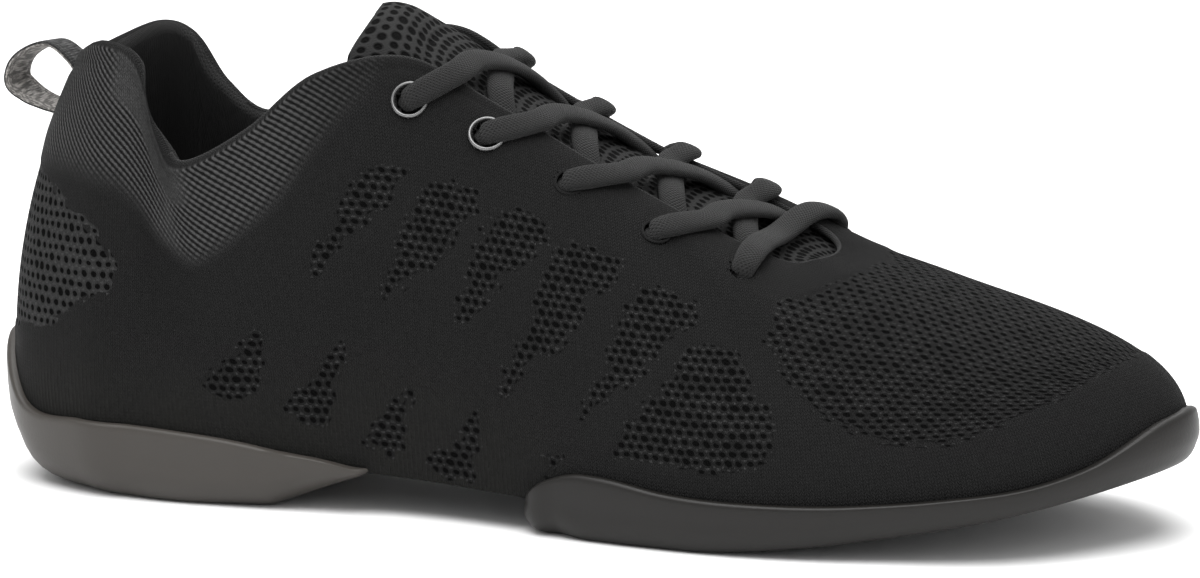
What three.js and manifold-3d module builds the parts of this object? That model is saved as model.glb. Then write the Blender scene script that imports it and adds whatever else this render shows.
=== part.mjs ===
// A knitted split-sole dance sneaker for the right foot, empty and laced.
// +X points to the toe, the outer side of the foot is -Y, +Z is up, and the floor is at z = 0.
// The origin is on the floor under the middle of the heel pad.
import * as THREE from 'three';
import { mergeVertices } from 'three/addons/utils/BufferGeometryUtils.js';
import Module from 'manifold-3d';

const wasm = await Module();
wasm.setup();

// Driving sizes, in millimetres
const footLength = 285; // back of the heel to the toe, outside the upper
const ballWidth = 96; // across the upper at the ball
const instepHeight = 104; // floor to the top of the throat
const heelSeat = 0.17; // share of footLength from the heel's back to the origin

// The upper's wall
const knitWall = 2.2;
const collarWall = 5.2; // padded roll round the ankle
const rimRound = 0.8; // height of the rim's roll to half its wall
const fitGap = 0.3; // between neighbouring pieces

// Throat and eyelets
const topEyeletInset = 10.2; // hole centre to the throat's edge
const lowEyeletInset = 12.6;
const holeRadius = 3.1;
const ringRadius = 4.7; // outer edge of the eyelet's flange
const ringBore = 3.3;
const ringWall = 0.5;
const ringLip = 0.9; // thickness of the flange over the knit
const ringedPairs = 2; // the top pairs have rings, the others are bare holes
const eyeletPairs = 5;
const topEyeletStation = 7.98;
const lowEyeletStation = 11.34;
const medialShift = 0.18; // stations by which the inner side's eyelets are nearer the toe

// Laces
const laceWidth = 6.4;
const laceThick = 2.8;
// Steps between eyelets by which a strand has run forward at the throat's near edge, a quarter
// over, at its middle, three quarters over, and where it goes under the far flap
const laceRun = [0.66, 0.81, 1.05, 1.2, 1.32];

// Tongue
const tongueThick = 3.0;
const tongueGap = 0.5; // under the flaps
const tongueCrown = 0.36; // pull of its crown, as a share of the throat's width
const tongueFlare = 13; // how much further back its free corners are
const tongueTuck = 0.17; // share of a section that the tongue runs under the flap
const tongueRise = 6.7; // its free top over the throat
const tongueDroop = 0.85; // share of that rise which its free corners lose
const tongueLean = 13; // how far the free top leans back

// Sole pads
const rimThick = 1.9; // foxing outside the upper's wall
const heelPadEnd = 6.95; // station where the heel pad turns inwards
const forePadStart = 9.25; // station where the forefoot pad turns inwards
const heelPadNose = 6; // how far its front end bulges forward
const forePadNose = 11; // how far its rear end bulges back
const heelEndPower = 0.9; // below 1 squares a pad's round end
const foreEndPower = 0.6;
const prowStart = 0.262; // share of footLength where the heel pad's bottom turns up
const prowLength = 0.085; // share of footLength over which it turns up
const prowRise = 9.4;
const toeSpring = 17.5; // rise of the sole's bottom at the toe
const springStart = 0.635; // share of footLength where the bottom leaves the floor
const springPower = 1.4;

// Insole
const insoleThick = 3.5;
const insoleEase = 1.7; // free room round its edge
const lastingMargin = 9; // the upper's turned-in edge on top of a pad

// Heel pull loop
const loopWidth = 11;
const loopThick = 1.3;
const loopReach = 13.2; // how far it stands behind its seams
const loopHighSeam = 0.889; // seams' heights, as shares of instepHeight
const loopLowSeam = 0.812;
const loopCrown = 7; // how far it arches over its upper seam

// Sections round the upper, from the heel's back along the outer side to the toe and back along
// the inner side. Along is a share of footLength, side and bulge of ballWidth, heights of
// instepHeight. Foot: where the wall meets the sole. Top: the collar's or the throat's edge.
// Rise and bulge lean the wall out of the foot, reach and fall bring it in to the top.
const columns = ['name', 'along', 'side', 'lift', 'rise', 'bulge', 'reach', 'fall', 'topAlong', 'topSide', 'topHeight'];
const sections = [
  ['heelBack', 0.011, 0.0, 0.1, 0.27, 0.072, 0.62, 0.23, 0.06, 0.0, 0.925],
  ['heelOuter', 0.036, -0.2, 0.1, 0.25, 0.06, 0.62, 0.26, 0.073, -0.105, 0.95],
  ['counterOuter', 0.1, -0.315, 0.1, 0.22, 0.05, 0.6, 0.28, 0.1, -0.178, 0.978],
  ['earOuter', 0.145, -0.33, 0.1, 0.22, 0.045, 0.5, 0.26, 0.136, -0.218, 0.945],
  ['dropOuter', 0.185, -0.338, 0.1, 0.2, 0.04, 0.45, 0.22, 0.158, -0.25, 0.792],
  ['ankleOuter', 0.23, -0.338, 0.096, 0.18, 0.035, 0.45, 0.2, 0.182, -0.276, 0.73],
  ['climbOuter', 0.285, -0.33, 0.096, 0.18, 0.035, 0.5, 0.18, 0.237, -0.265, 0.808],
  ['shankOuter', 0.34, -0.325, 0.094, 0.2, 0.035, 0.55, 0.18, 0.294, -0.235, 0.94],
  ['throatOuter1', 0.41, -0.34, 0.085, 0.2, 0.035, 0.62, 0.16, 0.36, -0.148, 0.982],
  ['throatOuter2', 0.495, -0.395, 0.076, 0.2, 0.04, 0.62, 0.12, 0.435, -0.125, 0.885],
  ['throatOuter3', 0.58, -0.45, 0.07, 0.19, 0.04, 0.62, 0.095, 0.52, -0.125, 0.764],
  ['throatOuter4', 0.67, -0.475, 0.068, 0.18, 0.035, 0.62, 0.075, 0.605, -0.125, 0.652],
  ['ballOuter', 0.77, -0.448, 0.09, 0.16, 0.035, 0.62, 0.06, 0.67, -0.105, 0.578],
  ['toeOuter', 0.895, -0.338, 0.145, 0.15, 0.035, 0.64, 0.06, 0.692, -0.045, 0.574],
  ['toeTip', 0.982, 0.03, 0.2, 0.2, 0.048, 0.68, 0.09, 0.699, 0.045, 0.574],
  ['toeInner', 0.912, 0.345, 0.145, 0.15, 0.035, 0.64, 0.08, 0.692, 0.13, 0.585],
  ['ballInner', 0.8, 0.455, 0.09, 0.15, 0.035, 0.62, 0.075, 0.668, 0.19, 0.61],
  ['throatInner4', 0.705, 0.475, 0.068, 0.19, 0.03, 0.6, 0.06, 0.605, 0.205, 0.684],
  ['throatInner3', 0.605, 0.415, 0.07, 0.22, 0.02, 0.58, 0.08, 0.52, 0.21, 0.775],
  ['throatInner2', 0.51, 0.315, 0.076, 0.26, 0.02, 0.56, 0.1, 0.435, 0.21, 0.89],
  ['throatInner1', 0.425, 0.27, 0.085, 0.28, 0.04, 0.56, 0.14, 0.362, 0.205, 1.0],
  ['shankInner', 0.35, 0.29, 0.094, 0.26, 0.04, 0.55, 0.18, 0.295, 0.245, 0.95],
  ['climbInner', 0.29, 0.315, 0.096, 0.22, 0.035, 0.5, 0.18, 0.245, 0.265, 0.85],
  ['ankleInner', 0.23, 0.332, 0.096, 0.18, 0.035, 0.45, 0.2, 0.19, 0.268, 0.77],
  ['dropInner', 0.185, 0.335, 0.1, 0.2, 0.04, 0.45, 0.22, 0.153, 0.25, 0.84],
  ['earInner', 0.145, 0.33, 0.1, 0.22, 0.045, 0.5, 0.26, 0.128, 0.225, 0.948],
  ['counterInner', 0.1, 0.315, 0.1, 0.22, 0.05, 0.6, 0.28, 0.102, 0.19, 0.978],
  ['heelInner', 0.036, 0.2, 0.1, 0.25, 0.06, 0.62, 0.26, 0.073, 0.105, 0.95],
];
const stationCount = sections.length;
const toeStation = stationCount / 2;
const column = Object.fromEntries(columns.map((name, i) => [name, i]));

// Top edge of the pads' foxing, by station from the heel's back (0) to the toe (14), as a share
// of instepHeight, and the rounding under its edge: how far in, as a share of ballWidth, and how
// far up, as a share of instepHeight.
const foxing = [
  { station: 0, rim: 0.318, cornerIn: 0.192, cornerUp: 0.203 },
  { station: 0.25, rim: 0.311, cornerIn: 0.19, cornerUp: 0.199 },
  { station: 0.6, rim: 0.27, cornerIn: 0.177, cornerUp: 0.173 },
  { station: 1.1, rim: 0.185, cornerIn: 0.135, cornerUp: 0.125 },
  { station: 2, rim: 0.172, cornerIn: 0.095, cornerUp: 0.105 },
  { station: 3, rim: 0.169, cornerIn: 0.06, cornerUp: 0.08 },
  { station: 4, rim: 0.163, cornerIn: 0.047, cornerUp: 0.067 },
  { station: 5.2, rim: 0.148, cornerIn: 0.07, cornerUp: 0.067 },
  { station: 5.8, rim: 0.132, cornerIn: 0.09, cornerUp: 0.062 },
  { station: 6.4, rim: 0.12, cornerIn: 0.09, cornerUp: 0.058 },
  { station: 7, rim: 0.104, cornerIn: 0.08, cornerUp: 0.05 },
  { station: 9.25, rim: 0.118, cornerIn: 0.047, cornerUp: 0.058 },
  { station: 9.4, rim: 0.142, cornerIn: 0.042, cornerUp: 0.058 },
  { station: 9.8, rim: 0.146, cornerIn: 0.042, cornerUp: 0.058 },
  { station: 10.4, rim: 0.125, cornerIn: 0.042, cornerUp: 0.058 },
  { station: 11.5, rim: 0.12, cornerIn: 0.042, cornerUp: 0.048 },
  { station: 12.5, rim: 0.142, cornerIn: 0.042, cornerUp: 0.043 },
  { station: 13.3, rim: 0.195, cornerIn: 0.042, cornerUp: 0.048 },
  { station: 13.75, rim: 0.271, cornerIn: 0.042, cornerUp: 0.06 },
  { station: 14, rim: 0.284, cornerIn: 0.042, cornerUp: 0.063 },
];

const samplesPerStation = 4;
const facetTolerance = 0.06; // how far merged facets may stray
const laceTolerance = 0.16;
const ringCount = stationCount * samplesPerStation;
const outerRows = 8; // of the upper's wall, from the foot to the top edge

const clamp01 = (x) => Math.min(1, Math.max(0, x));
const smooth = (x) => clamp01(x) ** 2 * (3 - 2 * clamp01(x));
const mirrorStation = (u) => stationCount - u;

// Value of a section's columns at station u, by a closed Catmull-Rom curve through the table.
function sectionAt(u) {
  const whole = Math.floor(u);
  const t = u - whole;
  const row = (k) => sections[(((whole + k) % stationCount) + stationCount) % stationCount];
  const [a, b, c, d] = [row(-1), row(0), row(1), row(2)];
  return columns.map((name, i) => {
    if (i === 0) return name;
    const slope = c[i] - a[i];
    const bend = 2 * a[i] - 5 * b[i] + 4 * c[i] - d[i];
    const twist = -a[i] + 3 * b[i] - 3 * c[i] + d[i];
    return 0.5 * (2 * b[i] + slope * t + bend * t * t + twist * t * t * t);
  });
}

const alongToX = (along) => (along - heelSeat) * footLength;

// The four control points of the section curve at station u, from the foot to the top edge.
function ribAt(u) {
  const s = sectionAt(u);
  const get = (name) => s[column[name]];
  const foot = new THREE.Vector3(alongToX(get('along')), get('side') * ballWidth, get('lift') * instepHeight);
  const out = outwardAt(u);
  const wall = foot.clone().addScaledVector(out, get('bulge') * ballWidth);
  wall.z += get('rise') * instepHeight;
  const top = new THREE.Vector3(
    alongToX(get('topAlong')), get('topSide') * ballWidth, get('topHeight') * instepHeight);
  const shoulder = top.clone().lerp(wall, get('reach'));
  shoulder.z = top.z - get('fall') * instepHeight;
  return [foot, wall, shoulder, top];
}

// Horizontal outward direction of the foot outline at station u.
function outwardAt(u) {
  const step = 0.001;
  const before = sectionAt(u - step);
  const after = sectionAt(u + step);
  const dx = (after[column.along] - before[column.along]) * footLength;
  const dy = (after[column.side] - before[column.side]) * ballWidth;
  return new THREE.Vector3(dy, -dx, 0).normalize();
}

function bezier(points, v) {
  const w = 1 - v;
  return new THREE.Vector3()
    .addScaledVector(points[0], w * w * w)
    .addScaledVector(points[1], 3 * v * w * w)
    .addScaledVector(points[2], 3 * v * v * w)
    .addScaledVector(points[3], v * v * v);
}

// Outside of the upper at station u and share v up the section, moved outwards by offset.
function skin(u, v, offset = 0) {
  const point = bezier(ribAt(u), v);
  return offset === 0 ? point : point.addScaledVector(skinNormal(u, v), offset);
}

function skinUp(u, v) {
  const step = 0.002;
  const rib = ribAt(u);
  return bezier(rib, Math.min(1, v + step)).sub(bezier(rib, Math.max(0, v - step))).normalize();
}

function skinNormal(u, v) {
  const step = 0.01;
  const around = bezier(ribAt(u + step), v).sub(bezier(ribAt(u - step), v));
  return around.cross(skinUp(u, v)).normalize();
}

// Share v at which the section at station u reaches a height.
function shareAtHeight(u, height) {
  const rib = ribAt(u);
  let low = 0;
  let high = 1;
  for (let i = 0; i < 30; i += 1) {
    const middle = (low + high) / 2;
    if (bezier(rib, middle).z < height) low = middle;
    else high = middle;
  }
  return low;
}

// Wall thickness: knit, swelling to the padded roll of the collar behind the throat.
function wallAt(u, v) {
  const fromHeel = Math.min(u, stationCount - u);
  const collar = 1 - smooth((fromHeel - 6.3) / 1.7);
  return knitWall + (collarWall - knitWall) * collar * smooth((v - 0.45) / 0.45);
}

// Where the upper's inside wall meets its inside floor, and the share v of that point.
function innerFloorShare(u) {
  return shareAtHeight(u, ribAt(u)[0].z + knitWall);
}

function innerFloorPoint(u) {
  return skin(u, innerFloorShare(u), -knitWall);
}

// A closed surface built from rings of points that all have the same count.
class SurfaceBuilder {
  constructor() {
    this.points = [];
    this.faces = [];
  }

  add(point) {
    this.points.push(point.x, point.y, point.z);
    return this.points.length / 3 - 1;
  }

  addRing(points) {
    return points.map((point) => this.add(point));
  }

  quad(a, b, c, d) {
    this.faces.push(a, b, c, a, c, d);
  }

  // Joins two closed rings; the first is below the second on an outer wall.
  band(lower, upper) {
    lower.forEach((a, i) => {
      const next = (i + 1) % lower.length;
      this.quad(a, lower[next], upper[next], upper[i]);
    });
  }

  // Fills a ring with straight rungs from its first half to its second. up is true where the
  // filled face looks up.
  ladder(ring, up) {
    const half = ring.length / 2;
    const face = (a, b, c) => (up ? this.faces.push(a, b, c) : this.faces.push(a, c, b));
    const across = (i) => ring[ring.length - i];
    face(ring[0], ring[1], across(1));
    face(ring[half], across(half - 1), ring[half - 1]);
    for (let i = 1; i < half - 1; i += 1) {
      face(ring[i], ring[i + 1], across(i + 1));
      face(ring[i], across(i + 1), across(i));
    }
  }

  // Closes a ring with a fan round a point.
  fan(ring, centre, forward) {
    const hub = this.add(centre);
    ring.forEach((a, i) => {
      const b = ring[(i + 1) % ring.length];
      if (forward) this.faces.push(hub, a, b);
      else this.faces.push(hub, b, a);
    });
  }

  solid() {
    const geometry = new THREE.BufferGeometry();
    geometry.setAttribute('position', new THREE.Float32BufferAttribute(this.points, 3));
    geometry.setIndex(this.faces);
    return solidOf(geometry);
  }
}

function solidOf(source) {
  const geometry = source.clone();
  geometry.deleteAttribute('normal');
  geometry.deleteAttribute('uv');
  const merged = mergeVertices(geometry, 1e-4);
  return new wasm.Manifold(new wasm.Mesh({
    numProp: 3,
    vertProperties: new Float32Array(merged.attributes.position.array),
    triVerts: new Uint32Array(merged.index.array),
  }));
}

function geometryOf(solid) {
  const mesh = solid.getMesh();
  const geometry = new THREE.BufferGeometry();
  geometry.setAttribute('position', new THREE.BufferAttribute(mesh.vertProperties, 3));
  geometry.setIndex(new THREE.BufferAttribute(mesh.triVerts, 1));
  geometry.computeVertexNormals();
  return geometry;
}

const ringStations = Array.from({ length: ringCount }, (_, i) => i / samplesPerStation);

// A point on the roll that closes the wall at the rim. turn goes from 0 outside to pi inside.
function rimPoint(u, turn, offset) {
  const half = wallAt(u, 1) / 2;
  return skin(u, 1)
    .addScaledVector(skinNormal(u, 1), -half + (half + offset) * Math.cos(turn))
    .addScaledVector(skinUp(u, 1), (half * rimRound + offset) * Math.sin(turn));
}

// The upper's outer form as a filled body, grown by an offset, up to a row of the upper's wall.
// Up to the top row it ends over the roll of the rim.
function filledForm(offset, rows) {
  const builder = new SurfaceBuilder();
  let previous = null;
  for (let j = 0; j <= rows; j += 1) {
    const ring = builder.addRing(ringStations.map((u) => {
      const point = skin(u, j / outerRows, offset);
      if (j === 0) point.z -= offset;
      return point;
    }));
    if (previous) builder.band(previous, ring);
    else builder.ladder(ring, false);
    previous = ring;
  }
  if (rows === outerRows) {
    const rim = builder.addRing(ringStations.map((u) => rimPoint(u, Math.PI * 0.35, offset)));
    const crest = builder.addRing(ringStations.map((u) => rimPoint(u, Math.PI * 0.6, offset)));
    builder.band(previous, rim);
    builder.band(rim, crest);
    previous = crest;
  }
  builder.ladder(previous, true);
  return builder.solid();
}

// A vertical block over the middle of a pad, inside the turned-in edge of the upper.
function openingBlock(fromStation, toStation) {
  const steps = 8;
  const inset = (u) => {
    const point = skin(u, 0, 0).addScaledVector(outwardAt(u), -lastingMargin);
    return new THREE.Vector2(point.x, point.y);
  };
  const outer = [];
  const inner = [];
  for (let i = 0; i <= steps; i += 1) {
    const u = fromStation + ((toStation - fromStation) * i) / steps;
    outer.push(inset(u));
    inner.unshift(inset(mirrorStation(u)));
  }
  const block = new THREE.ExtrudeGeometry(
    new THREE.Shape([...outer, ...inner]), { depth: instepHeight * 0.26, bevelEnabled: false });
  return solidOf(block);
}

// Place of an eyelet: pair 0 is at the top, and its inset is measured down from the throat's edge.
function eyeletPlace(pair, outerSide) {
  const share = pair / (eyeletPairs - 1);
  const station = topEyeletStation + (lowEyeletStation - topEyeletStation) * share;
  const inset = topEyeletInset + (lowEyeletInset - topEyeletInset) * share;
  const u = outerSide ? station : mirrorStation(station + medialShift);
  const edge = skin(u, 1);
  let v = 1;
  while (skin(u, v).distanceTo(edge) < inset) v -= 0.002;
  return { u, v, centre: skin(u, v), normal: skinNormal(u, v) };
}

// A round solid whose own +Y axis is laid along a normal.
function roundAt(geometry, centre, normal) {
  const turn = new THREE.Quaternion().setFromUnitVectors(new THREE.Vector3(0, 1, 0), normal);
  return geometry.clone().applyQuaternion(turn).translate(centre.x, centre.y, centre.z);
}

function makeUpper() {
  const builder = new SurfaceBuilder();
  const rimSteps = 3;
  const innerShares = [1, 0.93, 0.84, 0.6, 0.3, 0.1, 0];
  let previous = null;
  for (let j = 0; j <= outerRows; j += 1) {
    const ring = builder.addRing(ringStations.map((u) => skin(u, j / outerRows)));
    if (previous) builder.band(previous, ring);
    else builder.ladder(ring, false);
    previous = ring;
  }
  for (let k = 1; k < rimSteps; k += 1) {
    const turn = (Math.PI * k) / rimSteps;
    const ring = builder.addRing(ringStations.map((u) => rimPoint(u, turn, 0)));
    builder.band(previous, ring);
    previous = ring;
  }
  innerShares.forEach((share) => {
    const ring = builder.addRing(ringStations.map((u) => {
      const low = innerFloorShare(u);
      const v = low + (1 - low) * share;
      return skin(u, v, -wallAt(u, v));
    }));
    builder.band(previous, ring);
    previous = ring;
  });
  builder.ladder(previous, true);
  let solid = builder.solid();
  solid = solid.subtract(openingBlock(1.2, 4.6)).subtract(openingBlock(9.6, 13.2));
  return solid.subtract(eyeletHoles(0));
}

const eyeletSides = [{ name: 'lateral', outerSide: true }, { name: 'medial', outerSide: false }];
const pairs = Array.from({ length: eyeletPairs }, (_, pair) => pair);

// Pins through all the eyelet holes, thinner than the holes by a clearance.
function eyeletHoles(clearance) {
  return pairs.flatMap((pair) => eyeletSides.map(({ outerSide }) => {
    const { centre, normal } = eyeletPlace(pair, outerSide);
    const ringed = pair < ringedPairs;
    const radius = (ringed ? ringBore + ringWall + fitGap : holeRadius) - clearance;
    const pin = new THREE.CylinderGeometry(radius, radius, collarWall * 2.4, 10);
    return solidOf(roundAt(pin, centre, normal));
  })).reduce((all, pin) => all.add(pin));
}

// A ring through the knit, with a flange on the outside.
function makeEyelet(pair, outerSide) {
  const { centre, normal } = eyeletPlace(pair, outerSide);
  const barrel = ringBore + ringWall;
  const top = fitGap + ringLip;
  const profile = [
    [ringBore, fitGap - knitWall],
    [barrel, fitGap - knitWall],
    [barrel, fitGap],
    [ringRadius, fitGap],
    [ringRadius, top - 0.45],
    [ringRadius - 0.45, top],
    [ringBore + 0.35, top],
    [ringBore, top - 0.4],
    [ringBore, fitGap - knitWall],
  ].map(([x, y]) => new THREE.Vector2(x, y));
  return solidOf(roundAt(new THREE.LatheGeometry(profile, 12), centre, normal));
}

// Foxing values at a station on either side, by straight lines through the table.
function foxingAt(u) {
  const s = Math.min(u, stationCount - u);
  const next = Math.max(1, foxing.findIndex((row) => row.station >= s));
  const [a, b] = [foxing[next - 1], foxing[next]];
  const t = smooth((s - a.station) / (b.station - a.station));
  const mix = (name) => a[name] + (b[name] - a[name]) * t;
  return {
    rim: mix('rim') * instepHeight,
    cornerIn: mix('cornerIn') * ballWidth,
    cornerUp: mix('cornerUp') * instepHeight,
  };
}

function soleBottom(x) {
  const along = x / footLength + heelSeat;
  if (along < springStart / 1.5) return prowRise * clamp01((along - prowStart) / prowLength);
  return toeSpring * clamp01((along - springStart) / (1 - springStart)) ** springPower;
}

// Heights and insets up a pad's side: a rounded corner, the side, and a rounded rim.
const cornerSteps = 3;

// The side of a pad at one station: its wall line, outward direction and foxing.
function sideStation(u) {
  const out = outwardAt(u);
  const values = foxingAt(u);
  const lineAt = (z) => {
    const point = skin(u, shareAtHeight(u, z));
    return point.addScaledVector(out, rimThick);
  };
  return { out, ...values, lineAt };
}

// A station on the round end of a pad that passes under the arch.
function endStation(from, to, nose, power, t) {
  const angle = Math.PI * t;
  const squared = (x) => Math.sign(x) * Math.abs(x) ** power;
  const lineAt = (z) => {
    const a = from.lineAt(z);
    const b = to.lineAt(z);
    const point = a.clone().add(b).multiplyScalar(0.5);
    point.addScaledVector(b.sub(a), -squared(Math.cos(angle)) / 2);
    point.x += nose * squared(Math.sin(angle));
    return point;
  };
  const outX = Math.sign(nose) * Math.sin(angle);
  const out = new THREE.Vector3(outX, -Math.cos(angle), 0).normalize();
  const mix = (name) => from[name] + (to[name] - from[name]) * t;
  return { out, rim: mix('rim'), cornerIn: mix('cornerIn'), cornerUp: mix('cornerUp'), lineAt };
}

function padSolid(stations) {
  const builder = new SurfaceBuilder();
  const profile = (station, step) => {
    const base = station.lineAt(0);
    const bottom = soleBottom(base.x);
    const height = station.rim - bottom;
    const up = Math.min(station.cornerUp, height * 0.62);
    if (step <= cornerSteps) {
      const angle = (Math.PI / 2) * (step / cornerSteps);
      const z = bottom + up * (1 - Math.cos(angle));
      return station.lineAt(z).addScaledVector(station.out, 0.6 - station.cornerIn * (1 - Math.sin(angle))).setZ(z);
    }
    const share = (step - cornerSteps) / 3;
    const z = bottom + up + (height - up) * Math.min(1, [0, 0.55, 0.9, 1][step - cornerSteps]);
    const inset = share < 1 ? 0.6 * (1 - share) : -rimThick * 0.45;
    return station.lineAt(z).addScaledVector(station.out, inset).setZ(z);
  };
  let previous = null;
  for (let step = 0; step <= cornerSteps + 3; step += 1) {
    const ring = builder.addRing(stations.map((station) => profile(station, step)));
    if (previous) builder.band(previous, ring);
    else builder.ladder(ring, false);
    previous = ring;
  }
  builder.ladder(previous, true);
  return builder.solid();
}

const padSideSteps = 3; // samples to a station along a pad's side
const padEndSteps = 12;

// Rings start at a pad's closed end on the shoe's centre line, run along the outer side to the
// round end under the arch, and come back along the inner side.
function heelPadStations() {
  const outer = sideStation(heelPadEnd);
  const inner = sideStation(mirrorStation(heelPadEnd));
  const side = Math.round(heelPadEnd * padSideSteps);
  const along = Array.from({ length: side }, (_, i) => (heelPadEnd * i) / side);
  return [
    ...along.map(sideStation),
    outer,
    ...Array.from({ length: padEndSteps - 1 }, (_, i) => endStation(outer, inner, heelPadNose, heelEndPower, (i + 1) / padEndSteps)),
    inner,
    ...along.slice(1).reverse().map((u) => sideStation(mirrorStation(u))),
  ];
}

function forePadStations() {
  const outer = sideStation(forePadStart);
  const inner = sideStation(mirrorStation(forePadStart));
  const span = toeStation - forePadStart;
  const side = Math.round(span * padSideSteps);
  const along = Array.from({ length: side }, (_, i) => forePadStart + (span * (i + 1)) / side);
  const half = padEndSteps / 2;
  const end = (i) => endStation(outer, inner, -forePadNose, foreEndPower, i / padEndSteps);
  return [
    ...Array.from({ length: half }, (_, i) => end(half - i)),
    outer,
    ...along.map(sideStation),
    ...along.slice(0, -1).reverse().map((u) => sideStation(mirrorStation(u))),
    inner,
    ...Array.from({ length: half - 1 }, (_, i) => end(padEndSteps - 1 - i)),
  ];
}

function makePad(stations) {
  return padSolid(stations).subtract(filledForm(fitGap, outerRows / 2));
}

function makeInsole() {
  const builder = new SurfaceBuilder();
  const ringAt = (lift) => ringStations.map((u) => {
    const point = innerFloorPoint(u).addScaledVector(outwardAt(u), -insoleEase);
    return point.setZ(point.z + fitGap + lift);
  });
  const lower = builder.addRing(ringAt(0));
  const upper = builder.addRing(ringAt(insoleThick));
  builder.ladder(lower, false);
  builder.band(lower, upper);
  builder.ladder(upper, true);
  return builder.solid();
}

// A point over the throat at station u on the outer side and share t across to the inner side,
// on a crown that carries on the two flaps' slopes, at a depth under the upper's wall.
function crownPoint(u, t, depth) {
  const edgeOf = (station) => skin(station, 1, -(wallAt(station, 1) + tongueGap + depth));
  const a = edgeOf(u);
  const b = edgeOf(mirrorStation(u));
  const pull = a.distanceTo(b) * tongueCrown;
  const rib = [
    a,
    a.clone().addScaledVector(skinUp(u, 1), pull),
    b.clone().addScaledVector(skinUp(mirrorStation(u), 1), pull),
    b,
  ];
  return bezier(rib, t);
}

// A row of points across the tongue: under the outer flap, over the crown, under the inner flap.
function tongueRow(u, depth) {
  const tuckPoints = 3;
  const crownPoints = 5;
  const flank = (station) => Array.from({ length: tuckPoints }, (_, k) => {
    const v = 1 - tongueTuck * (1 - k / (tuckPoints - 1));
    return skin(station, v, -(wallAt(station, v) + tongueGap + depth));
  });
  const crown = Array.from({ length: crownPoints }, (_, k) => crownPoint(u, (k + 1) / (crownPoints + 1), depth));
  return [...flank(u), ...crown, ...flank(mirrorStation(u)).reverse()];
}

const tongueStations = [13.75, 13.5, 13, 12.5, 12, 11.5, 11, 10.5, 10, 9.5, 9, 8.5, 8.25];
// The free top over the last station, as shares of its rise and of its lean, and of its width
const tongueTop = [
  { up: 0.48, back: 0.22, wide: 0.99 },
  { up: 0.84, back: 0.46, wide: 0.97 },
  { up: 0.98, back: 0.68, wide: 0.94 },
  { up: 1.0, back: 0.84, wide: 0.91 },
  { up: 0.94, back: 1.0, wide: 0.87 },
];

// The tongue from a depth under the flaps to another.
function tongueSolid(topDepth, underDepth) {
  const rowsAt = (depth) => {
    const rows = tongueStations.map((u) => tongueRow(u, depth));
    const base = rows[rows.length - 1];
    const middleY = (base[0].y + base[base.length - 1].y) / 2;
    const halfWidth = (base[base.length - 1].y - base[0].y) / 2;
    tongueTop.forEach(({ up, back, wide }) => {
      rows.push(base.map((point) => {
        const share = (point.y - middleY) / halfWidth;
        const x = point.x - tongueLean * back - tongueFlare * share * share * back;
        const rise = tongueRise * up * (1 - tongueDroop * share * share);
        return new THREE.Vector3(x, middleY + share * halfWidth * wide, point.z + rise);
      }));
    });
    return rows;
  };
  const builder = new SurfaceBuilder();
  const top = rowsAt(topDepth).map((row) => builder.addRing(row));
  const under = rowsAt(underDepth).map((row) => builder.addRing(row));
  const wide = top[0].length - 1;
  const last = top.length - 1;
  for (let i = 0; i < last; i += 1) {
    for (let k = 0; k < wide; k += 1) {
      builder.quad(top[i][k], top[i][k + 1], top[i + 1][k + 1], top[i + 1][k]);
      builder.quad(under[i][k], under[i + 1][k], under[i + 1][k + 1], under[i][k + 1]);
    }
    builder.quad(top[i][0], top[i + 1][0], under[i + 1][0], under[i][0]);
    builder.quad(top[i][wide], under[i][wide], under[i + 1][wide], top[i + 1][wide]);
  }
  for (let k = 0; k < wide; k += 1) {
    builder.quad(top[0][k], under[0][k], under[0][k + 1], top[0][k + 1]);
    builder.quad(top[last][k], top[last][k + 1], under[last][k + 1], under[last][k]);
  }
  return builder.solid();
}

// Sweeps a section of [side, lift] pairs along a path of points, each with its upward direction.
function sweep(path, section, stepsPerPoint) {
  const curve = new THREE.CatmullRomCurve3(path.map((step) => step.point), false, 'centripetal');
  const steps = (path.length - 1) * stepsPerPoint;
  const builder = new SurfaceBuilder();
  let previous = null;
  for (let i = 0; i <= steps; i += 1) {
    const t = i / steps;
    const centre = curve.getPoint(t);
    const along = curve.getTangent(t);
    const place = t * (path.length - 1);
    const whole = Math.min(path.length - 2, Math.floor(place));
    const up = path[whole].up.clone().lerp(path[whole + 1].up, place - whole);
    const side = up.cross(along).normalize();
    const lift = along.clone().cross(side);
    const ring = builder.addRing(section.map(([x, y]) =>
      centre.clone().addScaledVector(side, x).addScaledVector(lift, y)));
    if (previous) builder.band(previous, ring);
    else builder.fan(ring, centre, false);
    if (i === steps) builder.fan(ring, centre, true);
    previous = ring;
  }
  return builder.solid();
}

const laceSection = (growth) => Array.from({ length: 6 }, (_, k) => {
  const angle = (Math.PI * k) / 3;
  return [Math.cos(angle) * (laceWidth / 2 + growth), Math.sin(angle) * (laceThick / 2 + growth)];
});

// Up over the throat at station u and share t across it.
function crownUp(u, t) {
  return skinNormal(u, 1).lerp(skinNormal(mirrorStation(u), 1), t).normalize();
}

// A point of a lace: at an outer-side station, a share across the throat and a lift off the tongue.
function overThroat(u, t, lift) {
  const up = crownUp(u, t);
  return { point: crownPoint(u, t, 0).addScaledVector(up, lift), up };
}

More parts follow.
